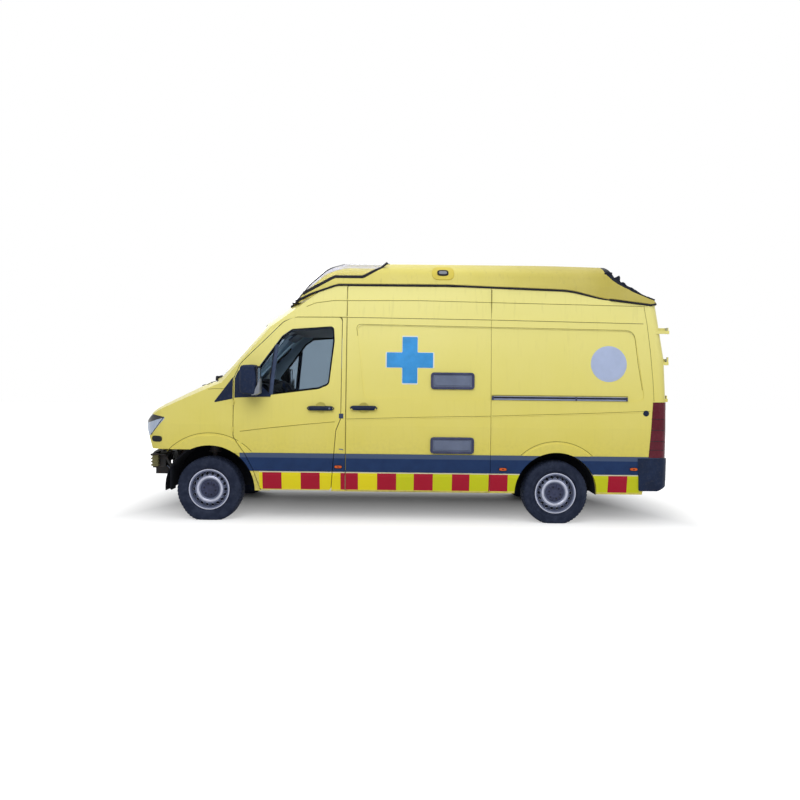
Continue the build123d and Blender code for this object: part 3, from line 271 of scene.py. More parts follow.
def livery_paint():
    """Yellow paint, lighter towards the top as painted light from above, with the dark lower band, its upper
    facet painted lighter as a highlight, and the chequered stripe, placed by position.
    """
    shader = Shader("livery", Coat_Weight=0.10, Coat_Roughness=0.12, Specular_IOR_Level=0.12)
    x = shader.math("SUBTRACT", shader.x, X0)
    outer = shader.over(shader.math("ABSOLUTE", shader.y), FLANK_Y)
    # Lighter towards the top: painted light from above
    color = weathered(shader, shader.mix(shader.spread(shader.z, 0.7, 2.4), YELLOW, YELLOW_LIT_TOP))
    start = STRIPE_BLOCKS[0][0]
    stops = []
    for edge, red in STRIPE_BLOCKS:
        pale = STRIPE_YELLOW if edge > STRIPE_CHANGE else STRIPE_LIME
        stops.append(((edge - start) / (STRIPE_END - start), STRIPE_RED if red else pale))
    blocks = shader.ramp(shader.spread(x, start * MM, STRIPE_END * MM), stops, stepped=True)
    ahead = shader.under(x, STRIPE_X[1])
    stripe = shader.all_of(shader.between(shader.z, *STRIPE_Z), outer, ahead, shader.over(x, STRIPE_X[0]))
    color = shader.mix(stripe, color, blocks)
    color = shader.mix(shader.all_of(shader.between(shader.z, *LINE_Z), outer, ahead), color, LINE_CREAM)
    band = shader.all_of(shader.between(shader.z, *BAND_Z), outer, shader.under(x, BAND_FRONT))
    dark = shader.mix(shader.spread(shader.noise(9.0, 4.0), 0.3, 0.7), DARK_BLUE, (0.007, 0.030, 0.106))
    # Upper facet of the band painted lighter: painted highlight
    dark = shader.mix(shader.spread(shader.z, *BAND_LIT_TOP_Z), dark, (0.056, 0.085, 0.160))
    color = shader.mix(band, color, dark)
    # Inner faces of the cab: the pillars in the paler lining as painted light, the rest dark as painted
    # shade
    pillar = shader.all_of(shader.over(x, PILLAR_X), shader.between(shader.z, *PILLAR_Z))
    lining = shader.mix(pillar, CAB_SHADE, LIT_LINING)
    lining = shader.mix(shader.under(x, WARD_FRONT), lining, WARD_WHITE)
    color = shader.mix(inner_faces(shader), color, lining)
    rough = shader.mix(band, (0.30, 0.30, 0.30), (0.52, 0.52, 0.52))
    shader.bump(shader.noise(420.0, 2.0), 0.03, 0.001)
    return shader.finish(color, rough)


def lamp_cover():
    """Milky lamp cover with a dark brow along its top."""
    shader = Shader("lamp_cover", Transmission_Weight=0.25, IOR=1.3, Coat_Weight=0.5, Coat_Roughness=0.05)
    x = shader.math("SUBTRACT", shader.x, X0)
    line = shader.math("MAXIMUM", shader.math("MULTIPLY_ADD", x, -0.30, 1.2165), 1.012)
    above = shader.math("SUBTRACT", shader.z, line)
    brow = shader.spread(above, -0.002, 0.002)
    low = shader.spread(shader.z, 0.880, 0.850)
    flutes = shader.tree.nodes.new("ShaderNodeTexWave")
    flutes.inputs["Scale"].default_value = 14.0
    shader.tree.links.new(shader.place, flutes.inputs["Vector"])
    milky = shader.mix(flutes.outputs["Fac"], (0.44, 0.54, 0.72), (0.56, 0.64, 0.80))
    tint = shader.mix(shader.math("MAXIMUM", brow, low), milky, (0.006, 0.007, 0.012))
    shader.bump(flutes.outputs["Fac"], 0.2, 0.002)
    return shader.finish(tint, 0.14)


def pod_paint():
    """Yellow moulded glassfibre, a little duller and dirtier than the body, darker towards the rear, black
    where it is torn.
    """
    shader = Shader("pod_paint", Coat_Weight=0.08, Coat_Roughness=0.2, Specular_IOR_Level=0.15)
    x = shader.math("SUBTRACT", shader.x, X0)
    # Darker towards the rear of the pod
    aft = shader.spread(x, -2.6, -4.3)
    color = weathered(shader, shader.mix(aft, (0.66, 0.58, 0.14), (0.46, 0.385, 0.075)), 1.3)
    rows = REAR_EDGE[::-1] + ((-4150, 2790),)
    start, end = rows[0][0], rows[-1][0]
    base, span = 2300, 500
    stops = [((edge - start) / (end - start), ((height - base) / span,) * 3) for edge, height in rows]
    heights = shader.ramp(shader.spread(x, start * MM, end * MM), stops)
    line = shader.math("MULTIPLY_ADD", heights, span * MM, base * MM)
    ragged = shader.math("MULTIPLY_ADD", shader.noise(30.0, 3.0), 0.014, -0.007)
    torn = shader.math("GREATER_THAN", shader.math("ADD", shader.z, ragged), line)
    color = shader.mix(shader.all_of(torn, shader.under(x, rows[-1][0] * MM)), color, (0.005, 0.008, 0.017))
    shader.bump(shader.noise(90.0, 3.0), 0.05, 0.002)
    return shader.finish(color, 0.38)


def plastic(name, color, rough=0.5, grain=900.0, lighter=1.6, weather=0.6):
    """Moulded plastic or rubber with fine grain, worn lighter in patches."""
    shader = Shader(name, Specular_IOR_Level=0.16)
    worn = shader.spread(shader.noise(7.0, 5.0, 0.65), 0.4, 0.75)
    tint = shader.mix(worn, color, tuple(min(1.0, value * lighter + 0.004) for value in color))
    dust = shader.spread(shader.noise(38.0, 5.0, 0.7), 0.5, 0.85)
    tint = shader.mix(shader.math("MULTIPLY", dust, 0.18 * weather), tint, (0.30, 0.28, 0.24))
    shader.bump(shader.noise(grain, 2.0), 0.12, 0.0006)
    return shader.finish(tint, shader.spread(worn, 0, 1, rough, min(1.0, rough + 0.12)))


def metal(name, color, rough=0.4, metallic=0.8, rust=0.0):
    """Painted or bare metal with spots of rust and dirt."""
    shader = Shader(name, Metallic=metallic, Specular_IOR_Level=0.3)
    spots = shader.spread(shader.noise(20.0, 6.0, 0.7), 0.5, 0.72)
    tint = shader.mix(shader.math("MULTIPLY", spots, rust), color, (0.20, 0.075, 0.03))
    dirt = shader.spread(shader.noise(6.0, 4.0), 0.45, 0.8)
    tint = shader.mix(shader.math("MULTIPLY", dirt, 0.35), tint, tuple(value * 0.55 for value in color))
    shader.bump(shader.noise(170.0, 3.0), 0.08, 0.0008)
    return shader.finish(tint, shader.spread(spots, 0, 1, rough, min(1.0, rough + 0.3)))


def glass(name, color, rough):
    """Clear or tinted glass with faint dust."""
    shader = Shader(name, Transmission_Weight=1.0, IOR=1.12)
    dust = shader.spread(shader.noise(8.0, 5.0, 0.6), 0.45, 0.8)
    tint = shader.mix(shader.math("MULTIPLY", dust, 0.12), color, tuple(value * 0.8 for value in color))
    return shader.finish(tint, shader.spread(dust, 0, 1, rough, rough + 0.06))


def woven(name, color):
    """Seat cloth with a fine weave."""
    shader = Shader(name, Sheen_Weight=0.3)
    wave = shader.tree.nodes.new("ShaderNodeTexWave")
    wave.inputs["Scale"].default_value = 95.0
    shader.tree.links.new(shader.place, wave.inputs["Vector"])
    tint = shader.mix(wave.outputs["Fac"], color, tuple(value * 1.8 for value in color))
    shader.bump(wave.outputs["Fac"], 0.3, 0.001)
    return shader.finish(tint, 0.85)


def tyre_rubber():
    """Bluish black rubber, dusty on the sidewall."""
    shader = Shader("tyre_rubber", Specular_IOR_Level=0.14)
    dust = shader.spread(shader.noise(14.0, 6.0, 0.7), 0.42, 0.8)
    tint = shader.mix(dust, (0.010, 0.015, 0.034), (0.032, 0.041, 0.073))
    shader.bump(shader.noise(300.0, 3.0), 0.15, 0.0008)
    return shader.finish(tint, 0.68)


MATERIALS = {
    "livery": livery_paint(),
    "pod_paint": pod_paint(),
    "dark": plastic("dark_trim", (0.003, 0.010, 0.034), 0.45, 700.0),
    "black": plastic("black_plastic", (0.006, 0.007, 0.011), 0.55, 800.0),
    "rubber": plastic("rubber_seal", (0.008, 0.008, 0.012), 0.62, 1200.0, 1.5, 0.3),
    "liner": plastic("arch_lining", (0.004, 0.005, 0.009), 0.85, 300.0, 1.6, 0.25),
    "grey": plastic("grey_panel", (0.12, 0.145, 0.22), 0.5, 600.0, 1.25),
    "board": plastic("pale_board", (0.42, 0.44, 0.45), 0.55, 300.0, 1.1, 0.3),
    # Pillar lining in the paler colour: painted light
    "lining": plastic("pillar_lining", LIT_LINING, 0.6, 500.0, 1.1, 0.2),
    "trim": plastic("cab_trim", (0.10, 0.13, 0.18), 0.7, 500.0, 1.3, 0.3),
    "chassis": metal("chassis_black", (0.022, 0.022, 0.024), 0.6, 0.2, 0.35),
    "steel": metal("wheel_steel", (0.125, 0.145, 0.225), 0.4, 0.3, 0.05),
    "iron": metal("bare_iron", (0.12, 0.11, 0.10), 0.6, 0.7, 0.5),
    "alloy": metal("radiator_alloy", (0.30, 0.31, 0.32), 0.5, 0.8, 0.0),
    "window": glass("window_glass", (0.42, 0.49, 0.55), 0.0),
    "clear": glass("clear_cover", (0.86, 0.86, 0.91), 0.03),
    "lamp": lamp_cover(),
    "red_lens": plastic("red_lens", (0.095, 0.005, 0.016), 0.16, 60.0, 1.3, 0.3),
    "amber": plastic("amber_lens", (0.62, 0.10, 0.012), 0.2, 60.0, 1.2, 0.4),
    "cloth": woven("seat_cloth", (0.035, 0.042, 0.06)),
    "tyre": tyre_rubber(),
    "post": plastic("window_post", (0.030, 0.045, 0.090), 0.42, 700.0),
    # Darker yellow: dark lines at the panel joints, and painted shade under the creases, round the arches'
    # flares and along the recessed panel
    "seam": plastic("seam_shade", (0.20, 0.165, 0.030), 0.7, 500.0, 1.2, 0.2),
    "smoke": plastic("smoke_lens", (0.20, 0.215, 0.25), 0.2, 90.0, 1.3, 0.3),
    "frame": plastic("cover_frame", (0.040, 0.046, 0.095), 0.45, 700.0),
    "rail": plastic("rail_grey", (0.21, 0.24, 0.36), 0.4, 500.0, 1.3),
    "white_film": plastic("white_film", (0.70, 0.74, 0.70), 0.35, 300.0, 1.1, 0.3),
    "blue_film": plastic("blue_film", (0.040, 0.27, 0.62), 0.35, 300.0, 1.25, 0.3),
    "disc_film": plastic("disc_film", (0.40, 0.47, 0.66), 0.35, 300.0, 1.1, 0.3),
    # Darker yellow of the side lamp's dish: painted shade of its recess
    "dish": plastic("lamp_dish", (0.60, 0.49, 0.075), 0.4, 300.0, 1.15, 0.4),
    "blue_lens": plastic("blue_lens", (0.015, 0.07, 0.40), 0.12, 60.0, 1.2, 0.2),
    "foam": plastic("torn_foam", (0.006, 0.008, 0.016), 0.9, 120.0, 2.0, 0.6),
    "pale": plastic("pale_plastic", (0.62, 0.63, 0.62), 0.4, 400.0, 1.05, 0.3),
    "olive": plastic("beam_foam", (0.17, 0.155, 0.070), 0.8, 95.0, 1.5, 0.8),
    "belt": woven("belt_webbing", (0.012, 0.013, 0.017)),
    # Bright steel of the head-rest posts and rails; on the wheels' real ridges a lighter copy of the rim's
    # silver: painted highlight
    "bright": metal("bright_steel", (0.40, 0.42, 0.52), 0.28, 0.75, 0.04),
    "mirror": metal("mirror_silver", (0.72, 0.74, 0.78), 0.08, 1.0, 0.0),
    "cap": plastic("hub_cap_grey", (0.036, 0.042, 0.085), 0.42, 500.0, 1.5, 0.6),
    "cap_dark": plastic("hub_cap_dark", (0.012, 0.014, 0.030), 0.5, 500.0, 1.4, 0.4),
}

NODE_FINISH = {
    "livery": ("wings", "bonnet", "cab_frame", "cab_door_left", "cab_door_right", "side_left", "side_right",
               "sliding_doors", "rear_frame", "rear_door_left", "rear_door_right", "front_panel"),
    "pod_paint": ("roof_pod",),
    "dark": ("mirror_left", "mirror_right", "rear_bumper", "door_rails"),
    "black": ("grille", "cowl", "dashboard", "steering_wheel", "lamp_housings"),
    "liner": ("arch_liners",),
    "grey": ("door_covers",),
    "board": ("bulkhead",),
    "chassis": ("floor", "firewall", "crash_beam", "underbody", "rear_axle", "front_suspension",
                "knuckle_left", "knuckle_right", "chassis"),
    "iron": ("engine",),
    "alloy": ("radiator",),
    "window": ("windscreen", "cab_glass_left", "cab_glass_right", "rear_glass_left", "rear_glass_right"),
    "clear": ("pod_lens",),
    "lamp": ("headlamps",),
    "red_lens": ("tail_lamps",),
    "cloth": ("seats",),
    "tyre": ("tyre_front_left", "tyre_front_right", "tyre_rear_left", "tyre_rear_right"),
    "steel": ("rim_front_left", "rim_front_right", "rim_rear_left", "rim_rear_right"),
}


def dress_nodes():
    """Finish of every CAD node that shows."""
    for finish, nodes in NODE_FINISH.items():
        for node in nodes:
            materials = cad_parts[node].data.materials
            materials.clear()
            materials.append(MATERIALS[finish])


# Shapes: every measure is in millimetres, counted from the front axle
def rounded(rows, closed=True, step=28.0):
    """Dense points along an outline of rows (u, v, rounding)."""
    points = []
    count = len(rows)
    for index, row in enumerate(rows):
        here = Vector(row[:2])
        if not row[2] or (not closed and index in (0, count - 1)):
            points.append(here)
            continue
        before = Vector(rows[index - 1][:2]) - here
        after = Vector(rows[(index + 1) % count][:2]) - here
        reach = row[2] / math.tan(before.angle(after) / 2)
        reach = min(reach, before.length * 0.49, after.length * 0.49)
        start = here + before.normalized() * reach
        end = here + after.normalized() * reach
        for part in range(7):
            share = part / 6
            points.append(start.lerp(here, share).lerp(here.lerp(end, share), share))
    dense = []
    last = len(points) if closed else len(points) - 1
    for index in range(last):
        point, after = points[index], points[(index + 1) % len(points)]
        pieces = max(1, round((after - point).length / step))
        if (after - point).length < 0.05:
            continue
        dense += [point.lerp(after, part / pieces) for part in range(pieces)]
    return dense if closed else dense + [points[-1]]


def grown(points, distance):
    """A closed anticlockwise outline moved outwards."""
    moved = []
    for index, point in enumerate(points):
        along = points[(index + 1) % len(points)] - points[index - 1]
        moved.append(point + Vector((along.y, -along.x)).normalized() * distance)
    return moved


TREES = {}


def tree(nodes):
    """Ray tree of CAD nodes at rest."""
    if nodes not in TREES:
        points, faces = [], []
        for node in nodes:
            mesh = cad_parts[node].data
            start = len(points)
            points += [vertex.co.copy() for vertex in mesh.vertices]
            faces += [[start + index for index in face.vertices] for face in mesh.polygons]
        TREES[nodes] = BVHTree.FromPolygons(points, faces)
    return TREES[nodes]


# Where rays start and which way they go, for a point (u, v) of an outline seen from there
FACINGS = {
    "side": lambda u, v, side: (at(u, side * 1700, v), Vector((0, -side, 0))),
    "rear": lambda u, v, side: (at(-5700, side * u, v), Vector((1, 0, 0))),
    "front": lambda u, v, side: (at(1500, side * u, v), Vector((-1, 0, 0))),
    "top": lambda u, v, side: (at(u, side * v, 3300), Vector((0, 0, -1))),
}


def hits(points, nodes, facing="side", side=1):
    """Places and outward normals on the nodes below the points of an outline, gaps bridged."""
    found = []
    for u, v in points:
        origin, way = FACINGS[facing](u, v, side)
        place, normal, _, depth = tree(nodes).ray_cast(origin, way)
        found.append((origin, way, place, normal, depth))
    depths = [row[4] for row in found]
    count = len(found)
    for index, depth in enumerate(depths):
        near = sorted(d for k in range(-4, 5) if (d := depths[(index + k) % count]) is not None)
        middle = near[len(near) // 2] if near else 0.8
        if depth is None or abs(depth - middle) > 0.014:
            depths[index] = None
    known = [index for index, depth in enumerate(depths) if depth is not None]
    places, normals = [], []
    for index, (origin, way, place, normal, _) in enumerate(found):
        if depths[index] is None:
            close = min(known, key=lambda k: abs(k - index)) if known else index
            depth = depths[close] if known else 0.8
            normal = found[close][3] if known else -way
        else:
            depth = depths[index]
        if normal.dot(way) > 0:
            normal = -normal
        places.append(origin + way * depth)
        normals.append(normal)
    smooth = []
    for index in range(count):
        total = Vector()
        for k in (-2, -1, 0, 1, 2):
            total += normals[min(max(index + k, 0), count - 1)]
        smooth.append(total.normalized())
    return places, smooth


def sweep(places, normals, section, closed=False):
    """Faces of a section (across, up) carried along places."""
    rings = []
    count = len(places)
    for index in range(count):
        before = places[index - 1] if closed or index else places[0]
        after = places[(index + 1) % count] if closed or index + 1 < count else places[-1]
        along = (after - before).normalized()
        up = (normals[index] - along * normals[index].dot(along)).normalized()
        across = along.cross(up)
        rings.append([places[index] + (across * a + up * b) * MM for a, b in section])
    return skin(rings, closed)


def skin(rings, closed=False):
    """Faces between rings of equally many points, capped where it is open."""
    size = len(rings[0])
    points = [point for ring in rings for point in ring]
    faces = []
    last = len(rings) if closed else len(rings) - 1
    for first in range(last):
        second = (first + 1) % len(rings)
        for a in range(size):
            b = (a + 1) % size
            faces.append((first * size + a, first * size + b, second * size + b, second * size + a))
    if not closed:
        faces.append(tuple(range(size)))
        faces.append(tuple(range((len(rings) - 1) * size, len(rings) * size)))
    return points, faces


def half_round(width, proud, sink=3.0):
    """Section of a bead that stands proud of a surface."""
    half = width / 2
    return ((-half, -sink), (half, -sink), (half, proud * 0.4), (half * 0.72, proud * 0.85),
            (half * 0.3, proud), (-half * 0.3, proud), (-half * 0.72, proud * 0.85), (-half, proud * 0.4))


def oval(width, height, count=12):
    """Closed section of a bar."""
    return tuple((math.cos(2 * math.pi * k / count) * width / 2,
                  math.sin(2 * math.pi * k / count) * height / 2)
                 for k in range(count))


def box(low, high, turn=None):
    """Eight corners and six faces between two corners, turned about its middle when turn is given."""
    a, b = Vector(low), Vector(high)
    middle = (a + b) / 2
    corners = [Vector((x, y, z)) for x in (a.x, b.x) for y in (a.y, b.y) for z in (a.z, b.z)]
    if turn:
        corners = [turn @ (corner - middle) + middle for corner in corners]
    faces = [(0, 1, 3, 2), (4, 6, 7, 5), (0, 4, 5, 1), (2, 3, 7, 6), (0, 2, 6, 4), (1, 5, 7, 3)]
    return [at(*corner) for corner in corners], faces


def bar(points, width, height=None, up=(0, 0, 1)):
    """Bar of an oval section through places."""
    places = [at(*point) for point in points]
    return sweep(places, [Vector(up)] * len(places), oval(width, height or width))


def curve(points, count=8):
    """Smooth run of points through the given ones."""
    rows = [Vector(point) for point in points]
    line = []
    last = len(rows) - 1
    for index in range(last):
        a, b, c, d = (rows[min(max(index + k, 0), last)] for k in (-1, 0, 1, 2))
        for part in range(count):
            t = part / count
            line.append(0.5 * ((2 * b) + (c - a) * t + (2 * a - 5 * b + 4 * c - d) * t * t
                               + (3 * b - a - 3 * c + d) * t * t * t))
    return line + [rows[-1]]


def bent(rows, side, width, height, up, count=8):
    """Curved bar through places that are given for the left side."""
    return bar(curve([(x, side * y, z) for x, y, z in rows], count), width, height, up)


def lathe(profile, middle, side=1, count=64, shape=None):
    """Profile rows (radius, outward) turned about a wheel's axis."""
    rings = []
    for step in range(count):
        angle = 2 * math.pi * step / count
        ring = []
        for row, (radius, outward) in enumerate(profile):
            if shape:
                radius = shape(step, row, radius)
            ring.append(at(middle[0] + radius * math.cos(angle), middle[1] + side * outward,
                           middle[2] + radius * math.sin(angle)))
        rings.append(ring)
    return skin(rings, True)


def turned(profile, spot, count):
    """Profile rows (radius, out) turned about the axis that spot(across, up, out) places in the frame."""
    rings = []
    for step in range(count):
        angle = 2 * math.pi * step / count
        rings.append([spot(radius * math.cos(angle), radius * math.sin(angle), out)
                      for radius, out in profile])
    return skin(rings, True)


def lathe_forward(profile, middle, count=36):
    """Profile rows (radius, forward) turned about a line along the vehicle."""
    x, y, z = middle
    return turned(profile, lambda across, up, out: at(x + out, y + across, z + up), count)


def lathe_up(profile, place, count=24):
    """Profile rows (radius, up) turned about an upright line through a place in the frame."""
    return turned(profile, lambda across, up, out: place + Vector((across, up, out)) * MM, count)


def lathe_column(profile, count=40):
    """Profile rows (radius, up) turned about the steering column."""
    turn = Matrix.Rotation(math.radians(-62), 3, "Y")
    middle = Vector((-790, 430, 1290))
    return turned(profile, lambda across, up, out: at(*(middle + turn @ Vector((across, up, out)))), count)


def make(name, shapes, finish, body="van_body", bevel=0.0, sharp=38.0, replaces=()):
    """One piece from (points, faces) shapes, riding on a body."""
    points, faces = [], []
    for some, sides in shapes:
        start = len(points)
        points += [tuple(point) for point in some]
        faces += [tuple(start + index for index in side) for side in sides]
    mesh = bpy.data.meshes.new(name)
    mesh.from_pydata(points, [], faces)
    work = bmesh.new()
    work.from_mesh(mesh)
    bmesh.ops.remove_doubles(work, verts=work.verts, dist=0.00002)
    bmesh.ops.dissolve_degenerate(work, edges=work.edges, dist=0.00002)
    bmesh.ops.recalc_face_normals(work, faces=work.faces)
    if bevel:
        corners = [edge for edge in work.edges if edge.is_manifold and edge.calc_face_angle(0.0) > 0.6]
        bmesh.ops.bevel(work, geom=corners, offset=bevel * MM, segments=2, profile=0.6, affect="EDGES",
                        clamp_overlap=True)
    work.to_mesh(mesh)
    work.free()
    mesh.shade_smooth()
    mesh.set_sharp_from_angle(angle=math.radians(sharp))
    mesh.materials.append(MATERIALS[finish])
    piece = bpy.data.objects.new(name, mesh)
    bpy.context.collection.objects.link(piece)
    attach(piece, body)
    if replaces:
        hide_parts(*replaces)
    return piece


def strip(name, rows, nodes, section, finish, body="van_body", side=1, facing="side", closed=False, out=0.0,
          step=28.0):
    """Bead or band that follows the nodes' surface along an outline."""
    points = rounded(rows, closed, step)
    if out:
        points = grown(points, out)
    places, normals = hits(points, nodes, facing, side)
    return make(name, [sweep(places, normals, section, closed)], finish, body)


def plate(rows, nodes, proud, side=1, facing="side", edge=4.0, sink=5.0, dished=0.0, step=16.0):
    """Plate that lies on the nodes' surface inside an outline, its edge rounded."""
    points = rounded(rows, True, step)
    middle = sum(points, Vector((0, 0))) / len(points)
    layers = [(0.0, -sink), (0.0, proud - edge * 0.7), (edge * 0.35, proud - edge * 0.15), (edge, proud)]
    loops = []
    for inward, height in layers:
        loops.append(([point + (middle - point).normalized() * inward for point in points], height))
    inner = loops[-1][0]
    for ring in range(1, 6):
        share = 1 - ring / 5.35
        loops.append(([middle + (point - middle) * share for point in inner],
                      proud - dished * (1 - share * share)))
    faces, out = [], []
    size = len(points)
    for loop, height in loops:
        places, normals = hits(loop, nodes, facing, side)
        out += [place + normal * height * MM for place, normal in zip(places, normals)]
    for ring in range(len(loops) - 1):
        for a in range(size):
            b = (a + 1) % size
            faces.append((ring * size + a, ring * size + b, (ring + 1) * size + b, (ring + 1) * size + a))
    faces.append(tuple(range((len(loops) - 1) * size, len(loops) * size)))
    faces.append(tuple(range(size)))
    return out, faces


def patch(name, rows, nodes, proud, finish, body="van_body", **form):
    """Piece of one plate."""
    return make(name, [plate(rows, nodes, proud, **form)], finish, body)


def circle(x, z, width, height=None):
    """Rows of a circle or, where it is wider than high, of a lozenge with round ends."""
    height = height or width
    power = 1.0 if width < height * 1.2 else 0.62
    rows = []
    for step in range(32):
        angle = 2 * math.pi * step / 32
        u, v = math.cos(angle), math.sin(angle)
        across = width / 2 * math.copysign(abs(u) ** power, u)
        rows.append((x + across, z + height / 2 * math.copysign(abs(v) ** power, v), 0))
    return tuple(rows)


def rectangle(low_x, low_z, high_x, high_z, rounding):
    """Rows of a rounded rectangle."""
    return tuple((x, z, rounding)
                 for x, z in ((low_x, low_z), (high_x, low_z), (high_x, high_z), (low_x, high_z)))


def moved(rows, up, ahead=0):
    """Rows of an outline moved up and ahead."""
    return [(x + ahead, z + up, rounding) for x, z, rounding in rows]


# Cab doors
DOOR_WINDOW = (
    (-640, 1325, 12), (-1150, 1392, 60), (-1262, 1440, 60), (-1315, 1900, 200), (-1305, 2060, 40),
    (-860, 2025, 60), (-757, 1950, 40), (-430, 1500, 30),
)
MIRROR_SAIL = (
    (-269, 1293, 4), (-269, 1498, 10), (-300, 1568, 10), (-352, 1628, 14), (-392, 1596, 10),
    (-438, 1516, 20), (-652, 1330, 8), (-648, 1306, 8), (-430, 1300, 30),
)
QUARTER_POST = ((-648, 1320, 0), (-664, 1500, 0), (-704, 1860, 0))
DOOR_SHOULDER = ((-332, 948, 0), (-543, 977, 200), (-963, 1024, 400), (-1330, 1060, 0))
# Rows of places, width and height of the two mirror arms
MIRROR_ARMS = (
    (((-505, 965, 1404), (-478, 1010, 1400), (-462, 1060, 1408)), 52, 40),
    (((-470, 968, 1560), (-462, 1012, 1568), (-458, 1058, 1566)), 34, 26),
)
MIRROR_Y = 1090
HANDLE_Z = 1192


def grip(low_x, high_x, y, z, side):
    """Shapes of a dark grab handle that sheathes the one on the door."""
    middle = (low_x + high_x) / 2
    half = (high_x - low_x) / 2 + 14
    rings = []
    for step in range(17):
        share = -1 + step / 8
        place = at(middle + share * half, side * (y + 1 - 3 * share * share), z)
        thick = math.sqrt(max(1 - abs(share) ** 9, 0.02))
        rings.append([place + Vector((0, side * (b * thick) * MM, a * thick * MM))
                      for a, b in oval(50, 36, 14)])
    feet = [box((x - 15, side * (y - 26) - 5, z - 9), (x + 15, side * (y - 4) + 5, z + 9))
            for x in (low_x + 16, high_x - 16)]
    return [skin(rings)] + feet


def door_mirror(side, word, door):
    """Arms, lamp, glass and rim of a mirror."""
    arms = [bent(rows, side, width, height, (1, 0, 0)) for rows, width, height in MIRROR_ARMS]
    make("mirror_arm_" + word, arms, "rubber", door)
    lamp = []
    for step in range(9):
        share = step / 8
        x = -492 - 84 * share
        lift = 130 * share * share
        lamp.append([at(x, side * y, z) for y, z in (
            (1080, 1322 + lift * 0.2), (1196, 1324 + lift * 0.2), (1206, 1352 + lift * 0.5),
            (1196, 1372 + lift), (1080, 1366 + lift))])
    make("mirror_lamp_" + word, [skin(lamp)], "smoke", door, bevel=5)
    y = side * MIRROR_Y
    make("mirror_glass_" + word, [box((-549, y - 82, 1368), (-541, y + 82, 1606))], "mirror", door, bevel=3)
    rim = [at(-543, u, v) for u, v in rounded(rectangle(y - 92, 1356, y + 92, 1618, 30))]
    make("mirror_rim_" + word, [sweep(rim, [Vector((-1, 0, 0))] * len(rim), oval(16, 14), True)], "black",
         door)


def cab_door(side, word):
    """Seals, post, mirror, handle, crease and lining of a cab door."""
    door = "cab_door_" + word
    nodes = (door,)
    pane = ("cab_glass_" + word,)
    window = DOOR_WINDOW[::-1]
    strip("window_rubber_" + word, window, nodes, half_round(24, 3.5, 12), "rubber", door, side,
          closed=True, out=-9)
    strip("window_lip_" + word, window, nodes, half_round(7, 6, 4), "dark", door, side, closed=True,
          out=-17)
    strip("quarter_post_" + word, QUARTER_POST, pane, half_round(40, 9, 4), "post", door, side)
    strip("quarter_post_edge_" + word, moved(QUARTER_POST, 0, 24), pane, half_round(9, 12, 4), "rubber",
          door, side)
    patch("mirror_sail_" + word, MIRROR_SAIL[::-1], nodes, 5, "dark", door, side=side, edge=5, sink=6)
    door_mirror(side, word, door)
    make("cab_handle_" + word, grip(-1308, -1048, 1012, HANDLE_Z, side), "dark", door, bevel=3)
    barrel = lathe(((0, 0), (9, 0), (10.5, -2), (10.5, -8), (0, -8)), (-1272, side * 1030, HANDLE_Z), side,
                   20)
    make("cab_handle_barrel_" + word, [barrel], "steel", door)
    strip("door_crease_" + word, DOOR_SHOULDER, nodes, half_round(9, 3.2), "livery", door, side)
    strip("door_crease_shade_" + word, moved(DOOR_SHOULDER, -9), nodes, half_round(5, 1.2), "seam", door,
          side)
    rest = [at(x, side * 905, z) for x, z in ((-300, 1250), (-700, 1268), (-1240, 1300))]
    make("door_armrest_" + word, [sweep(rest, [Vector((0, 0, 1))] * 3, oval(70, 60))], "trim", door)
    card = []
    for x in range(-320, -1300, -60):
        card.append([at(x, side * y, z)
                     for y, z in ((932, 760), (932, 1240), (921, 1200), (921, 1000), (921, 800))])
    make("door_card_" + word, [skin(card)], "trim", door, bevel=3)


# Trim on the sides of the body
UPPER_CREASE = ((-1010, 2272, 0), (-1104, 2311, 200), (-1288, 2338, 300), (-2210, 2348, 2000),
                (-2963, 2336, 2000), (-4597, 2312, 0))
DRIP_LINE = ((-800, 2106, 0), (-905, 2158, 80), (-1388, 2162, 400), (-2965, 2150, 900), (-4575, 2127, 0))
SHOULDER = ((-1446, 1073, 0), (-2210, 1100, 900), (-2967, 1120, 0))
SHOULDER_REAR = ((-2974, 1121, 0), (-4000, 1160, 900), (-4640, 1191, 0))
POD_EDGE = ((-888, 2318, 0), (-1056, 2401, 200), (-1330, 2500, 200), (-2500, 2504, 900),
            (-3800, 2462, 900), (-4122, 2384, 600), (-4654, 2319, 100), (-4715, 2332, 0))
LENS_EDGE = ((-888, 2332, 0), (-985, 2412, 120), (-1300, 2590, 90), (-1600, 2590, 60),
             (-1790, 2700, 40), (-1858, 2757, 0))
POD_NODES = ("roof_pod", "pod_lens")
WING_SAIL = ((-50, 1240, 10), (-250, 1282, 4), (-250, 1505, 10), (-262, 1520, 6), (-232, 1486, 40))
DOOR_RAIL = ((-2978, 1320, 0), (-4396, 1320, 0))
MARK_X = -2110
MARK_Z = 1709
CROSS = ((-80, -245), (80, -245), (80, -80), (245, -80), (245, 80), (80, 80), (80, 245), (-80, 245),
         (-80, 80), (-245, 80), (-245, -80), (-80, -80))
# Name, width, height, stand, edge, step and finish of the parts of a side marker
MARKER_PARTS = (
    ("side_marker_seat", 92, 44, 5, 4, 8, "dark"), ("side_marker", 76, 28, 11, 6, 8, "amber"),
    ("side_marker_heart", 22, 9, 12.5, 2, 4, "red_lens"),
)
# Dark lines at the panel joints, and a line of painted shade along the recessed panel's outline
JOINT_AND_SHADE_LINES = (
    ("joint_cab", ((-1444, 2480, 0), (-1444, 345, 0))),
    ("joint_slide", ((-2970, 2466, 0), (-2970, 345, 0))),
    ("joint_corner", ((-4584, 2300, 0), (-4614, 2113, 0), (-4644, 1844, 0), (-4670, 1528, 0),
                      (-4680, 1300, 0))),
    ("recess_shade_line", ((-1556, 1960, 0), (-1538, 2083, 50), (-4478, 2048, 110), (-4516, 1700, 0),
                     (-4560, 1420, 0))),
)


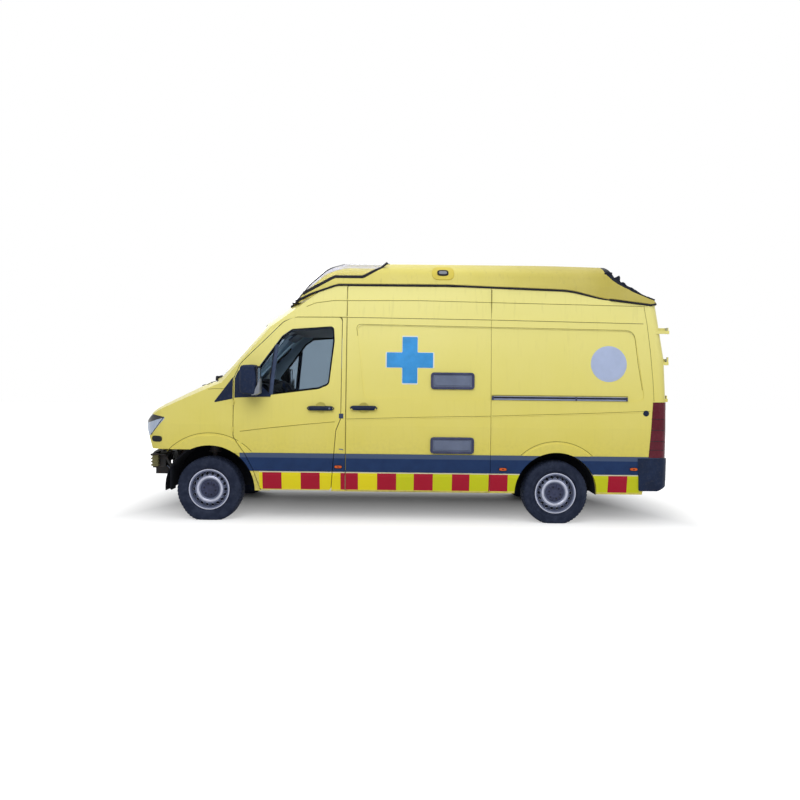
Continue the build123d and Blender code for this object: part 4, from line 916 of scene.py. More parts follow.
def side_marks(side, word):
    """Plain cross and plain disc on the side."""
    film = {"side": side, "edge": 0.4, "sink": 1.5}
    mark = [(MARK_X + u, MARK_Z + v, 10) for u, v in CROSS]
    wider = [(MARK_X + (x - MARK_X) * 1.05, MARK_Z + (z - MARK_Z) * 1.05, rounding)
             for x, z, rounding in mark]
    doors = ("sliding_doors",)
    patch("blue_mark_edge_" + word, wider, doors, 0.7, "white_film", step=12, **film)
    patch("blue_mark_" + word, mark, doors, 1.3, "blue_film", step=12, **film)
    patch("pale_disc_" + word, circle(-4208, 1691, 380), ("side_" + word,), 1.0, "disc_film", step=14,
          **film)


def side_lines(side, word, body):
    """Fine lines: painted shade round the arches' flares and along the recessed panel, and dark lines
    between the panels.
    """
    # Lines round the arches: painted shade along each flare's crease
    for name, x, radius, low, high, nodes, rides in (
        ("arch_line_front", -12, 603, 42, 120, ("wings",), "van_body"),
        ("arch_line_door", -12, 603, 124, 137, ("cab_door_" + word,), "cab_door_" + word),
        ("arch_line_rear", -WHEELBASE, 551, 47, 133, ("side_" + word,), "van_body"),
    ):
        turns = [math.radians(low + (high - low) * k / 24) for k in range(25)]
        arc = [(x + radius * math.cos(turn), AXLE_HEIGHT + radius * math.sin(turn), 0) for turn in turns]
        strip(name + "_" + word, arc, nodes, half_round(6, 0.9), "seam", rides, side)
    for name, rows in JOINT_AND_SHADE_LINES:
        strip(name + "_" + word, rows, body, half_round(5, 0.9), "seam", side=side, step=20)
    strip("wing_seam_" + word, ((8, 1379, 0), (-60, 1386, 0), (-199, 1386, 0)), ("wings", "cab_frame"),
          half_round(5, 1.0), "seam", side=side)


def side_trim(side, word):
    """Creases, seals, handles, markers, covers, rail and lines of one side."""
    body = ("side_" + word, "sliding_doors", "cab_frame", "rear_frame")
    for name, rows, width, proud, shade, up in (
        ("upper_crease", UPPER_CREASE, 10, 3.0, 1.0, -8), ("drip_line", DRIP_LINE, 9, 3.5, 1.0, -8),
        ("shoulder", SHOULDER, 10, 3.2, 1.2, 9), ("shoulder_rear", SHOULDER_REAR, 10, 3.2, 1.2, 9),
    ):
        strip(name + "_" + word, rows, body, half_round(width, proud), "livery", side=side)
        strip(name + "_shade_" + word, moved(rows, up), body, half_round(5, shade), "seam", side=side)
    for name, rows, nodes, section, finish in (
        ("pod_seal", POD_EDGE, POD_NODES + body, half_round(20, 9, 14), "rubber"),
        ("lens_seal", LENS_EDGE, POD_NODES, half_round(32, 6, 6), "rubber"),
        ("pod_flange", moved(POD_EDGE[2:7], 20), POD_NODES, half_round(14, 5, 4), "pod_paint"),
    ):
        strip(name + "_" + word, rows, nodes, section, finish, side=side)
    patch("wing_sail_" + word, WING_SAIL[::-1], ("wings", "cab_frame"), 4.5, "dark", side=side, edge=5)
    make("sliding_handle_" + word, grip(-1760, -1500, 1010, HANDLE_Z + 8, side), "dark", bevel=3)
    lock = [plate(rectangle(-1416, 1088, -1370, 1138, 5), body, 5, side, edge=2.5, step=8),
            plate(circle(-1394, 1111, 17), body, 8, side, edge=2, step=4)]
    make("lock_plate_" + word, lock, "post")
    patch("lock_line_" + word, ((-1420, 754, 3), (-1372, 760, 3), (-1372, 770, 3), (-1420, 764, 3)), body,
          3, "grey", side=side, edge=2, step=8)
    for index, (x, z) in enumerate(((-1367, 577), (-3100, 570), (-4476, 586))):
        for name, width, height, proud, edge, step, finish in MARKER_PARTS:
            patch("%s_%d_%s" % (name, index, word), circle(x, z, width, height), body, proud, finish,
                  side=side, edge=edge, step=step)
    for index, (low, high) in enumerate(((1412, 1575), (735, 895))):
        ending = "_%d_%s" % (index, word)
        strip("cover_frame" + ending, rectangle(-2785, low, -2340, high, 30),
              ("door_covers", "sliding_doors"), half_round(26, 9, 10), "frame", side=side, closed=True,
              out=-6, step=14)
        patch("cover_lid" + ending, rectangle(-2755, low + 30, -2370, high - 30, 26), ("door_covers",), 6,
              "grey", side=side, edge=9, step=14)
    for name, up, width, proud, finish in (
        ("rail_lip_", -12, 17, 9, "rail"), ("rail_slot_", 4, 12, 2, "black"),
        ("rail_top_", 17, 9, 8, "rail"),
    ):
        strip(name + word, moved(DOOR_RAIL, up), ("door_rails",), half_round(width, proud), finish,
              side=side)
    strip("rail_rust_" + word, ((-2974, 1349, 0), (-4408, 1349, 0)), body, half_round(7, 2), "seam",
          side=side)
    for index, x in enumerate((-2984, -3860, -4392)):
        patch("rail_end_%d_%s" % (index, word), rectangle(x - 9, 1299, x + 9, 1341, 3), ("door_rails",), 12,
              "frame", side=side, edge=3, step=8)
    patch("filler_lock_" + word, circle(-4597, 1175, 62), body, 5, "dark", side=side, edge=4, step=8)
    side_marks(side, word)
    side_lines(side, word, body)
    patch("nose_lamp_" + word, circle(548, 851, 112, 52), ("wings",), 4, "black", side=side, edge=5,
          dished=3, step=8)
    strip("nose_lamp_ring_" + word, circle(548, 851, 116, 56), ("wings",), half_round(7, 5), "rubber",
          side=side, closed=True, step=8)
    for name, rows, proud, finish, edge, dished, step in (
        # Dish in darker yellow: painted shade of the lamp's recess
        ("pod_lamp_dish_", rectangle(-2572, 2566, -2336, 2716, 70), 9, "dish", 9, 7.5, 10),
        ("pod_lamp_seat_", circle(-2452, 2642, 122, 66), 9, "rubber", 5, 0.0, 8),
        ("pod_lamp_lens_", circle(-2452, 2642, 86, 34), 13, "smoke", 5, 0.0, 6),
    ):
        patch(name + word, rows, ("roof_pod",), proud, finish, side=side, edge=edge, dished=dished,
              step=step)


# Roof pod: half widths (height, half width), the deck's depth under the cover, and the seam above the screen
POD_AXIS_X = -2900
POD_WIDTHS = ((2150, 915), (2510, 872), (2680, 825), (2766, 640), (2800, 0))
DECK_DEPTH = 0.044
DECK_TURNS = 64
DECK_STEPS = 25
ARCH_SEAM = ((-700, 2200), (-835, 2289), (-1056, 2401))


def pod_half(z):
    """Half width of the pod at a height."""
    for (low, wide), (high, narrow) in zip(POD_WIDTHS, POD_WIDTHS[1:]):
        if z <= high:
            return wide + (narrow - wide) * (z - low) / (high - low)
    return 0


def pod_deck():
    """Deck that follows the pod's front from inside, and the lamps on it."""
    centre = at(-1750, 0, 2330)
    ways, depths = [], []
    for turn in range(-DECK_TURNS, DECK_TURNS + 1):
        azimuth = math.radians(turn * 1.9)
        ways.append([])
        depths.append([])
        for step in range(DECK_STEPS):
            lift = math.radians(-10 + 99.5 * step / (DECK_STEPS - 1))
            way = Vector((math.cos(azimuth) * math.cos(lift), math.sin(azimuth) * math.cos(lift),
                          math.sin(lift)))
            depth = tree(POD_NODES).ray_cast(centre, way)[3]
            if depth is None or depth > 1.3:
                depth = depths[-1][-1] if depths[-1] else 0.9
            ways[-1].append(way)
            depths[-1].append(depth)
    last = len(depths) - 1
    for _ in range(2):
        depths = [[(depths[max(r - 1, 0)][k] + depths[r][k] + depths[min(r + 1, last)][k]) / 3
                   for k in range(DECK_STEPS)] for r in range(last + 1)]
    points = [centre + way * (depths[r][k] - DECK_DEPTH) for r, row in enumerate(ways)
              for k, way in enumerate(row)]
    faces = sheet_faces(last + 1, DECK_STEPS)
    deck = make("pod_deck", [(points, faces)], "pod_paint", sharp=60)
    deck.modifiers.new("wall", "SOLIDIFY").thickness = 0.005
    bars = []
    surface = BVHTree.FromPolygons(points, faces)
    for side, _ in SIDES:
        for y in (230, 420, 610):
            place = surface.ray_cast(at(1500, side * y, 2420), Vector((-1, 0, 0)))[0]
            x = (place.x - X0) / MM
            bars.append(box((x - 40, side * y - 76, 2400), (x + 12, side * y + 76, 2440),
                            Matrix.Rotation(math.radians(side * y / 36), 3, "Z")))
    make("pod_lamp_row", bars, "blue_lens", bevel=8)


def sheet_faces(rows, size):
    """Faces of a sheet of rows with size points each."""
    return [(r * size + k, (r + 1) * size + k, (r + 1) * size + k + 1, r * size + k + 1)
            for r in range(rows - 1) for k in range(size - 1)]


def pod_front():
    """Deck, lamps and seals of the clear front of the pod."""
    pod_deck()
    make("pod_centre_box",
         [box((-1560, -240, 2690), (-1300, 240, 2722), Matrix.Rotation(math.radians(6), 3, "Y"))], "black",
         bevel=10)
    across = [(-1862 - 40 * (1 - (y / 640) ** 2), y) for y in range(-640, 641, 40)]
    places, normals = hits(across, POD_NODES, "top")
    top = CAD_BOX[1][2] - 0.0065
    places = [Vector((place.x, place.y, min(place.z, top))) for place in places]
    make("lens_seal_top", [sweep(places, normals, half_round(32, 6, 6))], "rubber")
    low = []
    for y in range(-850, 851, 34):
        x = POD_AXIS_X + math.sqrt(2195 ** 2 - y * y)
        for (fore, below), (aft, above) in zip(ARCH_SEAM, ARCH_SEAM[1:]):
            if x >= aft:
                z = below + (above - below) * (fore - x) / (fore - aft)
                break
        low.append((y, z + 14))
    make("lens_seal_low", [sweep(*hits(low, POD_NODES, "front"), half_round(18, 5, 10))], "rubber")
    for index, y in enumerate((-420, 420)):
        places, normals = hits([(x, y) for x in range(-4100, -2000, 60)], ("roof_pod",), "top")
        make("roof_rib_%d" % index, [sweep(places, normals, half_round(60, 5, 3))], "pod_paint")


# Lumps of the torn edge (height, share of its length, spread), section (inward, height, share of the lump)
TORN_LUMPS = ((76, 0.30, 0.07), (52, 0.10, 0.07), (40, 0.48, 0.09), (24, 0.68, 0.10))
TORN_SECTION = ((2, -22, 0), (0, -6, 0), (4, 0, 0.7), (22, 0, 1), (60, 0, 0.9), (74, 0, 0.35), (82, -14, 0))
TORN_PATCHES = ((-4330, 240, 300, 60), (-4480, -330, 420, 80), (-4600, 420, 240, 60), (-4420, 610, 200, 70))


def torn_edge(side, word):
    """Ragged black edge along one side of the tear."""
    line = curve([(x, 0, z) for x, z in REAR_EDGE], 6)
    rings = []
    for index, point in enumerate(line):
        share = index / (len(line) - 1)
        lump = sum(height * math.exp(-((share - place) / wide) ** 2) for height, place, wide in TORN_LUMPS)
        lump += 10 + random.uniform(2, 9)
        along = (line[min(index + 1, len(line) - 1)] - line[max(index - 1, 0)]).normalized()
        up = Vector((along.z, 0, -along.x))
        if up.z < 0:
            up = -up
        half = pod_half(point.z)
        ring = []
        for inward, height, part in TORN_SECTION:
            place = point + up * (height + lump * part)
            ring.append(at(place.x, side * (half - 6 - inward), place.z))
        rings.append(ring)
    make("torn_edge_" + word, [skin(rings)], "foam", sharp=60)


def pod_rear():
    """Torn black foam where the cover at the pod's back has come off."""
    random.seed(11)
    for side, word in SIDES:
        torn_edge(side, word)
    spots = []
    for x, z in REAR_EDGE:
        half = pod_half(z) - 84
        for step in range(-16, 17):
            spots.append(at(x - 2, half * step / 16, z + random.uniform(-4, 3)))
    places = []
    for spot in spots:
        place = tree(("roof_pod",)).find_nearest(spot)[0]
        places.append(place + Vector((-0.4, 0, 0.9)) * 0.004 + Vector((0, 0, random.uniform(0, 0.004))))
    size = 33
    faces = [(r * size + k, r * size + k + 1, (r + 1) * size + k + 1, (r + 1) * size + k)
             for r in range(len(REAR_EDGE) - 1) for k in range(size - 1)]
    bed = make("torn_bed", [(places, faces)], "foam")
    solid = bed.modifiers.new("wall", "SOLIDIFY")
    solid.thickness = 0.006
    solid.offset = -1
    remains = []
    for x, y, wide, deep in TORN_PATCHES:
        z = 2545 + (x + 4330) * 0.55
        remains.append(box((x - deep / 2, y - wide / 2, z - 14), (x + deep / 2, y + wide / 2, z + 6),
                           Matrix.Rotation(math.radians(-28), 3, "Y")))
    make("torn_remains", remains, "foam", bevel=6)


# Wheels
TYRE_PROFILE = (
    (204, -86), (216, -89), (226, -101), (250, -110), (285, -113), (312, -111), (328, -105), (337, -97),
    (341, -84), (343, -66), (343, -60), (336, -58), (336, -51), (343, -49), (344, -24), (337, -22),
    (337, -14), (344, -12), (344, 12), (337, 14), (337, 22), (344, 24), (343, 49), (336, 51), (336, 58),
    (343, 60), (343, 66), (341, 84), (337, 97), (328, 105), (312, 111), (285, 113), (250, 110), (226, 101),
    (216, 89), (204, 86),
)
SHOULDER_ROWS = (6, 7, 8, 9, 10, 25, 26, 27, 28, 29)
RIB_ROWS = (13, 14, 17, 18, 21, 22)
TREAD_STEPS = 216
# Name, profile (radius, outward), corners and finish of the turned parts of a wheel
RIM_PARTS = (
    # Lip and ring: real ridges coloured lighter than the rim's silver, a painted highlight
    ("rim_lip_", ((203, 92), (214, 92), (217, 97), (215, 101), (209, 102), (203, 99)), 96, "bright"),
    ("rim_ring_", ((112, 70), (117, 77), (124, 79.5), (134, 79), (140, 76), (143, 68)), 96, "bright"),
    ("rim_well_", ((191, 90), (203, 98), (203, 90), (196, 60), (190, 46), (186, 50)), 96, "steel"),
    ("brake_drum_", ((0, 20), (150, 20), (183, 10), (183, -60), (0, -60)), 48, "foam"),
    ("hub_cap_", ((0, 71), (16, 72), (22, 69), (40, 67), (48, 71), (76, 70), (88, 66), (98, 58), (100, 47),
                  (0, 44)),
     72, "cap"),
)
VENT_REACH = 167
VENT_RIM = ((15.8, 65.0), (17.0, 66.2), (18.8, 63.6), (18.6, 52.0), (16.2, 51.0))
# Dark discs in the vents: painted shade of the holes
VENT_SHADE = ((0, 64.6), (15.5, 64.8), (17.0, 63.6), (16.5, 50.0), (0, 50.0))
BOLT = ((0, 82), (8, 82), (10, 79), (10, 68), (0, 68))


def tread(step, row, radius):
    """Cross cuts of the tread."""
    if row in SHOULDER_ROWS and step % 4 == 0:
        return radius - 6
    if row in RIB_ROWS and (step + row) % 6 == 0:
        return radius - 5
    return radius


def on_cone(point, x, side):
    """A point of the rim moved with the slope of its disc."""
    reach = math.hypot((point.x - X0) / MM - x, point.z / MM - AXLE_HEIGHT)
    return Vector((point.x, point.y - side * 0.7 * (reach - VENT_REACH) * MM, point.z))


def tyre(word, x, side, body, soft):
    """Tyre that stands on a flat foot, a long one where it is soft."""
    y = side * WHEEL_OUT
    points, faces = lathe(TYRE_PROFILE, (x, y, AXLE_HEIGHT), side, TREAD_STEPS, tread)
    foot_height, foot_length, swell = (125, 250, 30) if soft else (70, 170, 9)
    settled = []
    for point in points:
        across = point.y / MM - y
        along = (point.x - X0) / MM - x
        high = point.z / MM
        foot = max(0.0, 1 - high / foot_height) ** 1.4
        near = max(0.0, 1 - (along / foot_length) ** 4)
        push = swell * foot * near * (1.0 if across * side > 0 else 0.3)
        across += math.copysign(push, across) if abs(across) > 40 else 0
        if soft and high < 120:
            along *= 1 + 0.10 * max(0.0, 1 - high / 120)
        settled.append(at(x + along, y + across, max(high, 0.4)))
    make("tyre_cover_" + word, [(settled, faces)], "tyre", body, sharp=30, replaces=("tyre_" + word,))


def wheel(word, x, side, body, soft=False):
    """Tyre, rim rings, cap, bolts, valve and vents of one wheel."""
    y = side * WHEEL_OUT
    middle = (x, y, AXLE_HEIGHT)
    tyre(word, x, side, body, soft)
    if not soft:
        rings = []
        for radius, outward, thick in ((233, 106.5, 2.2), (270, 113.0, 2.0)):
            profile = [(radius + math.cos(k) * thick, outward + math.sin(k) * thick)
                       for k in (0, 1.26, 2.51, 3.77, 5.03)]
            rings.append(lathe(profile, middle, side, 96))
        make("tyre_lines_" + word, rings, "tyre", body)
    for name, profile, count, finish in RIM_PARTS:
        make(name + word, [lathe(profile, middle, side, count)], finish, body)
    bolts, slots = [], []
    for index in range(6):
        angle = math.radians(60 * index + 14)
        place = (x + 62 * math.cos(angle), y, AXLE_HEIGHT + 62 * math.sin(angle))
        bolts.append(lathe(BOLT, place, side, 6))
        angle += math.radians(30)
        slots.append(bar([(x + reach * math.cos(angle), side * (WHEEL_OUT + out),
                           AXLE_HEIGHT + reach * math.sin(angle))
                          for reach, out in ((50, 70), (84, 68))], 6, 6, (0, 1, 0)))
    make("wheel_bolts_" + word, bolts, "cap_dark", body)
    make("cap_slots_" + word, slots, "cap_dark", body)
    valve = [(x + 176, side * (WHEEL_OUT + 50), AXLE_HEIGHT - 64),
             (x + 182, side * (WHEEL_OUT + 82), AXLE_HEIGHT - 66)]
    make("valve_" + word, [bar(valve, 8, 8, (1, 0, 0))], "rubber", body)
    holes, shades = [], []
    for index in range(18):
        angle = 2 * math.pi * index / 18
        place = (x + VENT_REACH * math.cos(angle), y, AXLE_HEIGHT + VENT_REACH * math.sin(angle))
        for kind, profile in ((holes, VENT_RIM), (shades, VENT_SHADE)):
            points, faces = lathe(profile, place, side, 18)
            kind.append(([on_cone(point, x, side) for point in points], faces))
    # Vent rims coloured lighter than the rim's silver: painted highlight
    make("vent_rims_" + word, holes, "bright", body)
    # Dark discs in the vents: painted shade of the holes
    make("vent_shades_" + word, shades, "foam", body)


# Front end
SIDE_STAY = ((470, 690, 690), (520, 742, 640), (480, 752, 560), (440, 745, 520))
LOOSE_WIRE = ((508, 760, 545), (482, 770, 520), (452, 768, 486), (470, 764, 462), (452, 760, 440))
SCREEN_NODES = ("windscreen", "cab_frame", "cowl")
BEAM_Y = 690


def reflector(side, y, z, radius):
    """Bowl behind the lamp cover, set back from the cover by rays round its rim."""
    x = 10000.0
    for step in range(8):
        turn = math.pi * step / 4
        origin = at(1500, side * y + radius * math.cos(turn), z + radius * math.sin(turn))
        place = tree(("headlamps",)).ray_cast(origin, Vector((-1, 0, 0)))[0]
        x = min(x, (place.x - X0) / MM - 24) if place else x
    profile = ((0, -30), (radius * 0.4, -24), (radius * 0.8, -8), (radius, 12), (radius + 5, 12),
               (radius + 4, 4), (radius * 0.85, -14), (0, -38))
    return lathe_forward(profile, (x, side * y, z))


def nose(side, word):
    """Lamp insides, bumper foam, brackets and loose pieces at one front corner."""
    bowls = [reflector(side, y, z, radius)
             for y, z, radius in ((650, 965, 50), (752, 965, 46), (838, 975, 32))]
    make("lamp_reflectors_" + word, bowls, "mirror")
    strip("lamp_border_" + word, ((470, 1078, 0), (560, 965, 60), (622, 893, 0)), ("headlamps", "wings"),
          half_round(7, 2, 4), "rubber", side=side, step=14)
    middle = side * BEAM_Y
    foam = [box((612, middle - 62, 530), (676, middle + 62, 655))]
    foam += [box((606, middle - 66, low), (690, middle + 66, low + 16)) for low in (536, 572, 608, 644)]
    make("beam_foam_" + word, foam, "olive", bevel=4)
    crate = [box((x, side * y - 8, 520), (x + 90, side * y + 8, 650))
             for x, y in ((560, 470), (560, 530), (540, 700))]
    crate += [box((520, side * 620 - 150, 655), (690, side * 620 + 150, 668)),
              box((500, side * 600 - 60, 512), (600, side * 600 + 60, 528))]
    make("beam_brackets_" + word, crate, "chassis", bevel=3)
    make("side_stay_" + word, [bent(SIDE_STAY, side, 26, 10, (0, 1, 0))], "chassis")
    make("loose_wire_" + word, [bent(LOOSE_WIRE, side, 6, 6, (0, 1, 0), 10)], "grey")
    flap = [[at(x, side * y, z) for y, z in ((806, top), (960, top), (960, low), (806, low))]
            for x, top, low in ((412, 560, 318), (402, 556, 312), (398, 470, 306))]
    make("liner_flap_" + word, [skin(flap)], "liner", bevel=3)


def wipers():
    """Two arms with blades that lie on the windscreen."""
    runs = []
    for low_y, high_y in ((-600, 60), (-20, 700)):
        points = []
        for step in range(13):
            y = low_y + (high_y - low_y) * step / 12
            points.append((y, 1500 + 40 * math.sin(math.pi * step / 12) * 0.4))
        places, normals = hits(points, SCREEN_NODES, "front")
        for stand, section in ((0.010, oval(9, 16)), (0.020, oval(16, 8))):
            lifted = [place + normal * stand for place, normal in zip(places, normals)]
            runs.append(sweep(lifted, normals, section))
        start = places[4]
        (pivot,), (up,) = hits([((low_y + high_y) / 2 + 120, 1488)], SCREEN_NODES, "front")
        pivot += up * 0.012
        runs.append(sweep([pivot, pivot.lerp(start, 0.5) + up * 0.022, start + normals[4] * 0.022],
                          [Vector((1, 0, 1)).normalized()] * 3, oval(22, 12)))
        runs.append(lathe_up(((0, 26), (20, 24), (24, 0), (24, -30), (0, -30)), pivot))
    make("wipers", runs, "black")


def bonnet_jets():
    """Small black jets on the rear of the bonnet."""
    jets = []
    tilt = Matrix.Rotation(math.radians(16), 3, "Y")
    for x, y, turn in ((196, 60, 20), (300, -60, -15), (246, 250, 10), (246, -250, -10)):
        place = tree(("bonnet",)).ray_cast(at(x, y, 3300), Vector((0, 0, -1)))[0]
        foot_x, foot_z = (place.x - X0) / MM, place.z / MM
        jets.append(box((foot_x - 26, y - 16, foot_z - 6), (foot_x + 26, y + 16, foot_z + 13),
                        Matrix.Rotation(math.radians(turn), 3, "Z") @ tilt))
    make("bonnet_jets", jets, "black", "bonnet", bevel=5)


def front_end():
    """Everything at the front that rides on the body or the bonnet."""
    for side, word in SIDES:
        nose(side, word)
    pipes = [bar([(600, y, 735), (640, y * 0.9, 715), (650, -y * 0.4, 712)], 26, 26, (0, 0, 1))
             for y in (380, -330)]
    make("cooler_pipes", pipes, "rubber")
    horn = ((0, -20), (34, -20), (46, 0), (44, 14), (20, 18), (0, 16))
    make("horns", [lathe_forward(horn, (642, y, 470)) for y in (250, -250)], "black")
    wipers()
    bonnet_jets()
    slats = []
    for y in range(-660, 661, 44):
        slats.append(box((70, y - 13, 1418), (104, y + 13, 1434),
                         Matrix.Rotation(math.radians(28), 3, "Y")))
    make("cowl_vents", slats, "dark", bevel=3)


# Cab: places are given for the left side
PAD_GRID = (18, 18, 7)
PILLAR = ((-175, 800, 1490), (-330, 790, 1650), (-540, 762, 1860), (-720, 735, 2020), (-800, 715, 2080))
PILLAR_GRIP = ((-420, 742, 1700), (-450, 716, 1735), (-560, 706, 1840), (-600, 722, 1885))
ROOF_RAIL = ((-800, 760, 2078), (-1000, 800, 2110), (-1360, 806, 2122))
BELT_PILLAR = ((-1352, 842, 2110), (-1350, 856, 1800), (-1346, 872, 1400), (-1340, 882, 1050))
BELT = ((-1316, 846, 2000), (-1306, 838, 1700), (-1290, 800, 1380), (-1240, 700, 1080))
CONSOLE = ((-700, 2060), (-780, 2030), (-1120, 2040), (-1360, 2046), (-1380, 2140), (-900, 2138),
           (-760, 2110))
SEAT_Y = 430
VENT_Y = (780, -780, -230, 160)


def pad_spot(shares, size, crown, pinch):
    """Place on a cushion's skin for shares from -1 to 1 along each axis, from its middle."""
    thin = min(range(3), key=lambda n: size[n])
    others = [shares[n] for n in range(3) if n != thin]
    bulge = (1 - others[0] ** 4) * (1 - others[1] ** 4)
    place = [0.0, 0.0, 0.0]
    for n, share in enumerate(shares):
        if n != thin:
            place[n] = math.sin(share * math.pi / 2) * (size[n] / 2) * (1 - 0.05 * abs(shares[thin]) ** 2)
            continue
        place[n] = share * (size[n] / 2 - crown + crown * bulge)
        if abs(share) > 0.99:
            for line in (-0.34, 0.34):
                place[n] -= math.copysign(pinch,
                                          share) * math.exp(-((others[0] - line) / 0.05) ** 2) * bulge
    return Vector(place)


def pad(name, low, high, crown=16.0, lean=0.0, pinch=9.0):
    """Crowned cushion between two corners, leaned about its middle, with two sewn channels."""
    size = Vector(high) - Vector(low)
    middle = (Vector(low) + Vector(high)) / 2
    turn = Matrix.Rotation(math.radians(lean), 3, "Y")
    points, index_of, faces = [], {}, []
    for n in range(3):
        p, q = [m for m in range(3) if m != n]
        for end in (0, PAD_GRID[n]):
            for i, j in [(i, j) for i in range(PAD_GRID[p]) for j in range(PAD_GRID[q])]:
                loop = []
                for di, dj in ((0, 0), (1, 0), (1, 1), (0, 1)):
                    key = [0, 0, 0]
                    key[n], key[p], key[q] = end, i + di, j + dj
                    key = tuple(key)
                    if key not in index_of:
                        index_of[key] = len(points)
                        shares = [2 * place / count - 1 for place, count in zip(key, PAD_GRID)]
                        spot = pad_spot(shares, size, crown, pinch)
                        points.append(at(*(middle + (turn @ spot if lean else spot))))
                    loop.append(index_of[key])
                faces.append(tuple(loop))
    piece = make(name, [(points, faces)], "cloth", sharp=180)
    smooth = piece.modifiers.new("smooth", "SUBSURF")
    smooth.levels = smooth.render_levels = 1


def seat(y, word):
    """Base, cushion, back and head rest of a seat; the base is returned."""
    shell = [box((-1150, y - 200, 672), (-820, y + 200, 960)),
             box((-1190, y - 225, 955), (-770, y + 225, 985)),
             box((-1110, y + 200, 930), (-880, y + 222, 975))]
    base = make("seat_base_" + word, shell, "trim", bevel=10)
    pad("seat_cushion_" + word, (-1205, y - 236, 984), (-745, y + 236, 1096), crown=18)
    pad("seat_back_" + word, (-1330, y - 230, 1062), (-1218, y + 230, 1444), lean=-13)
    pad("seat_head_" + word, (-1386, y - 122, 1468), (-1330, y + 122, 1616), crown=12, pinch=0)
    posts = [bar([(-1358, y + offset, z) for z in (1400, 1490)], 12, 12, (0, 1, 0)) for offset in (-55, 55)]
    make("head_posts_" + word, posts, "bright")
    return base


def dashboard():
    """Dials, vents, their slats and the gear lever."""
    dials = [box((-600, 300, 1428), (-440, 560, 1452)), box((-668, -140, 1180), (-600, 120, 1400)),
             box((-640, -760, 1230), (-560, -330, 1380))]
    make("dash_trim", dials, "black", bevel=12)
    hood = []
    for step in range(9):
        lift = 34 * math.sin(math.pi * step / 8) + 14
        section = ((-640, 1432), (-640, 1440 + lift), (-470, 1452 + lift), (-470, 1440))
        hood.append([at(x, 300 + 32 * step, z) for x, z in section])
    make("dial_hood", [skin(hood)], "black", bevel=6)
    make("dash_vents", [box((-690, y - 62, 1300), (-640, y + 62, 1372)) for y in VENT_Y], "dark", bevel=8)
    slats = [box((-696, y - 54, z), (-688, y + 54, z + 5)) for y in VENT_Y for z in range(1310, 1366, 14)]
    make("dash_vent_slats", slats, "cap_dark", bevel=1)
    knob = lathe_up(((0, 28), (20, 22), (26, 0), (18, -22), (0, -26)), at(-724, 40, 1288))
    lever = bent(((-640, 40, 1140), (-690, 40, 1210), (-720, 40, 1270)), 1, 26, 26, (0, 1, 0))
    make("gear_lever", [lever, knob], "black")


def cab_inside():
    """Seats, dashboard, pillars, belts, console and wheel."""
    base = seat(SEAT_Y, "left")
    seat(-SEAT_Y, "right")
    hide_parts("seats")
    dashboard()
    for side, word in SIDES:
        make("pillar_trim_" + word, [bent(PILLAR, side, 62, 44, (1, 0, 1))], "lining")
        make("pillar_grip_" + word, [bent(PILLAR_GRIP, side, 24, 24, (1, 0, 1))], "black")
        visor = box((-790, side * 400 - 270, 1996), (-640, side * 400 + 270, 2014),
                    Matrix.Rotation(math.radians(38), 3, "Y"))
        make("sun_visor_" + word, [visor], "post", bevel=7)
        make("roof_rail_trim_" + word, [bent(ROOF_RAIL, side, 90, 70, (0, 0, 1))], "black")
        make("belt_pillar_" + word, [bent(BELT_PILLAR, side, 58, 40, (1, 0, 0))], "trim")
        make("belt_" + word, [bent(BELT, side, 6, 46, (0, side, 0))], "belt")
        anchor = box((-1330, side * 848 - 20, 1960), (-1300, side * 848 + 20, 2030))
        make("belt_anchor_" + word, [anchor], "black", bevel=6)
    shelf = [[at(x, -780 + 156 * step, z) for x, z in CONSOLE] for step in range(11)]
    make("roof_console", [skin(shelf)], "black", bevel=8)
    mirror = [box((-560, -110, 1905), (-540, 110, 1965)),
              bar([(-545, 0, 1960), (-580, 0, 2040)], 16, 16, (0, 1, 0))]
    make("inner_mirror", mirror, "black", bevel=6)
    stalks = [bar([(-760, SEAT_Y + s * 60, 1330), (-772, SEAT_Y + s * 190, 1352)], 14, 12, (0, 0, 1))
              for s in (-1, 1)]
    make("column_stalks", stalks, "black")
    make("wheel_boss", [lathe_column(((0, 34), (50, 30), (72, 12), (74, -10), (60, -26), (0, -26)))],
         "black")
    ring = [(190 + 17.5 * math.cos(a), 17.5 * math.sin(a))
            for a in (0, 0.63, 1.26, 1.88, 2.51, 3.14, 3.77, 4.4, 5.03, 5.65)]
    make("wheel_ring_cover", [lathe_column(ring, 72)], "dark")


# Rear: outlines count from the middle outwards
REAR_WINDOW = ((150, 1420, 60), (770, 1420, 60), (750, 2080, 80), (150, 2080, 60))
LAMP_SPLITS = (790, 883, 1000, 1116)
# Name, outline, stand, edge, step and finish of the pieces on the left rear door
REAR_DOOR_PARTS = (
    ("rear_handle", rectangle(30, 1160, 190, 1210, 12), 18, 8, 10, "dark"),
    ("plate_light", rectangle(120, 1052, 560, 1080, 8), 14, 6, 12, "dark"),
    ("blank_plate", rectangle(80, 900, 600, 1010, 8), 5, 2, 14, "pale"),
)


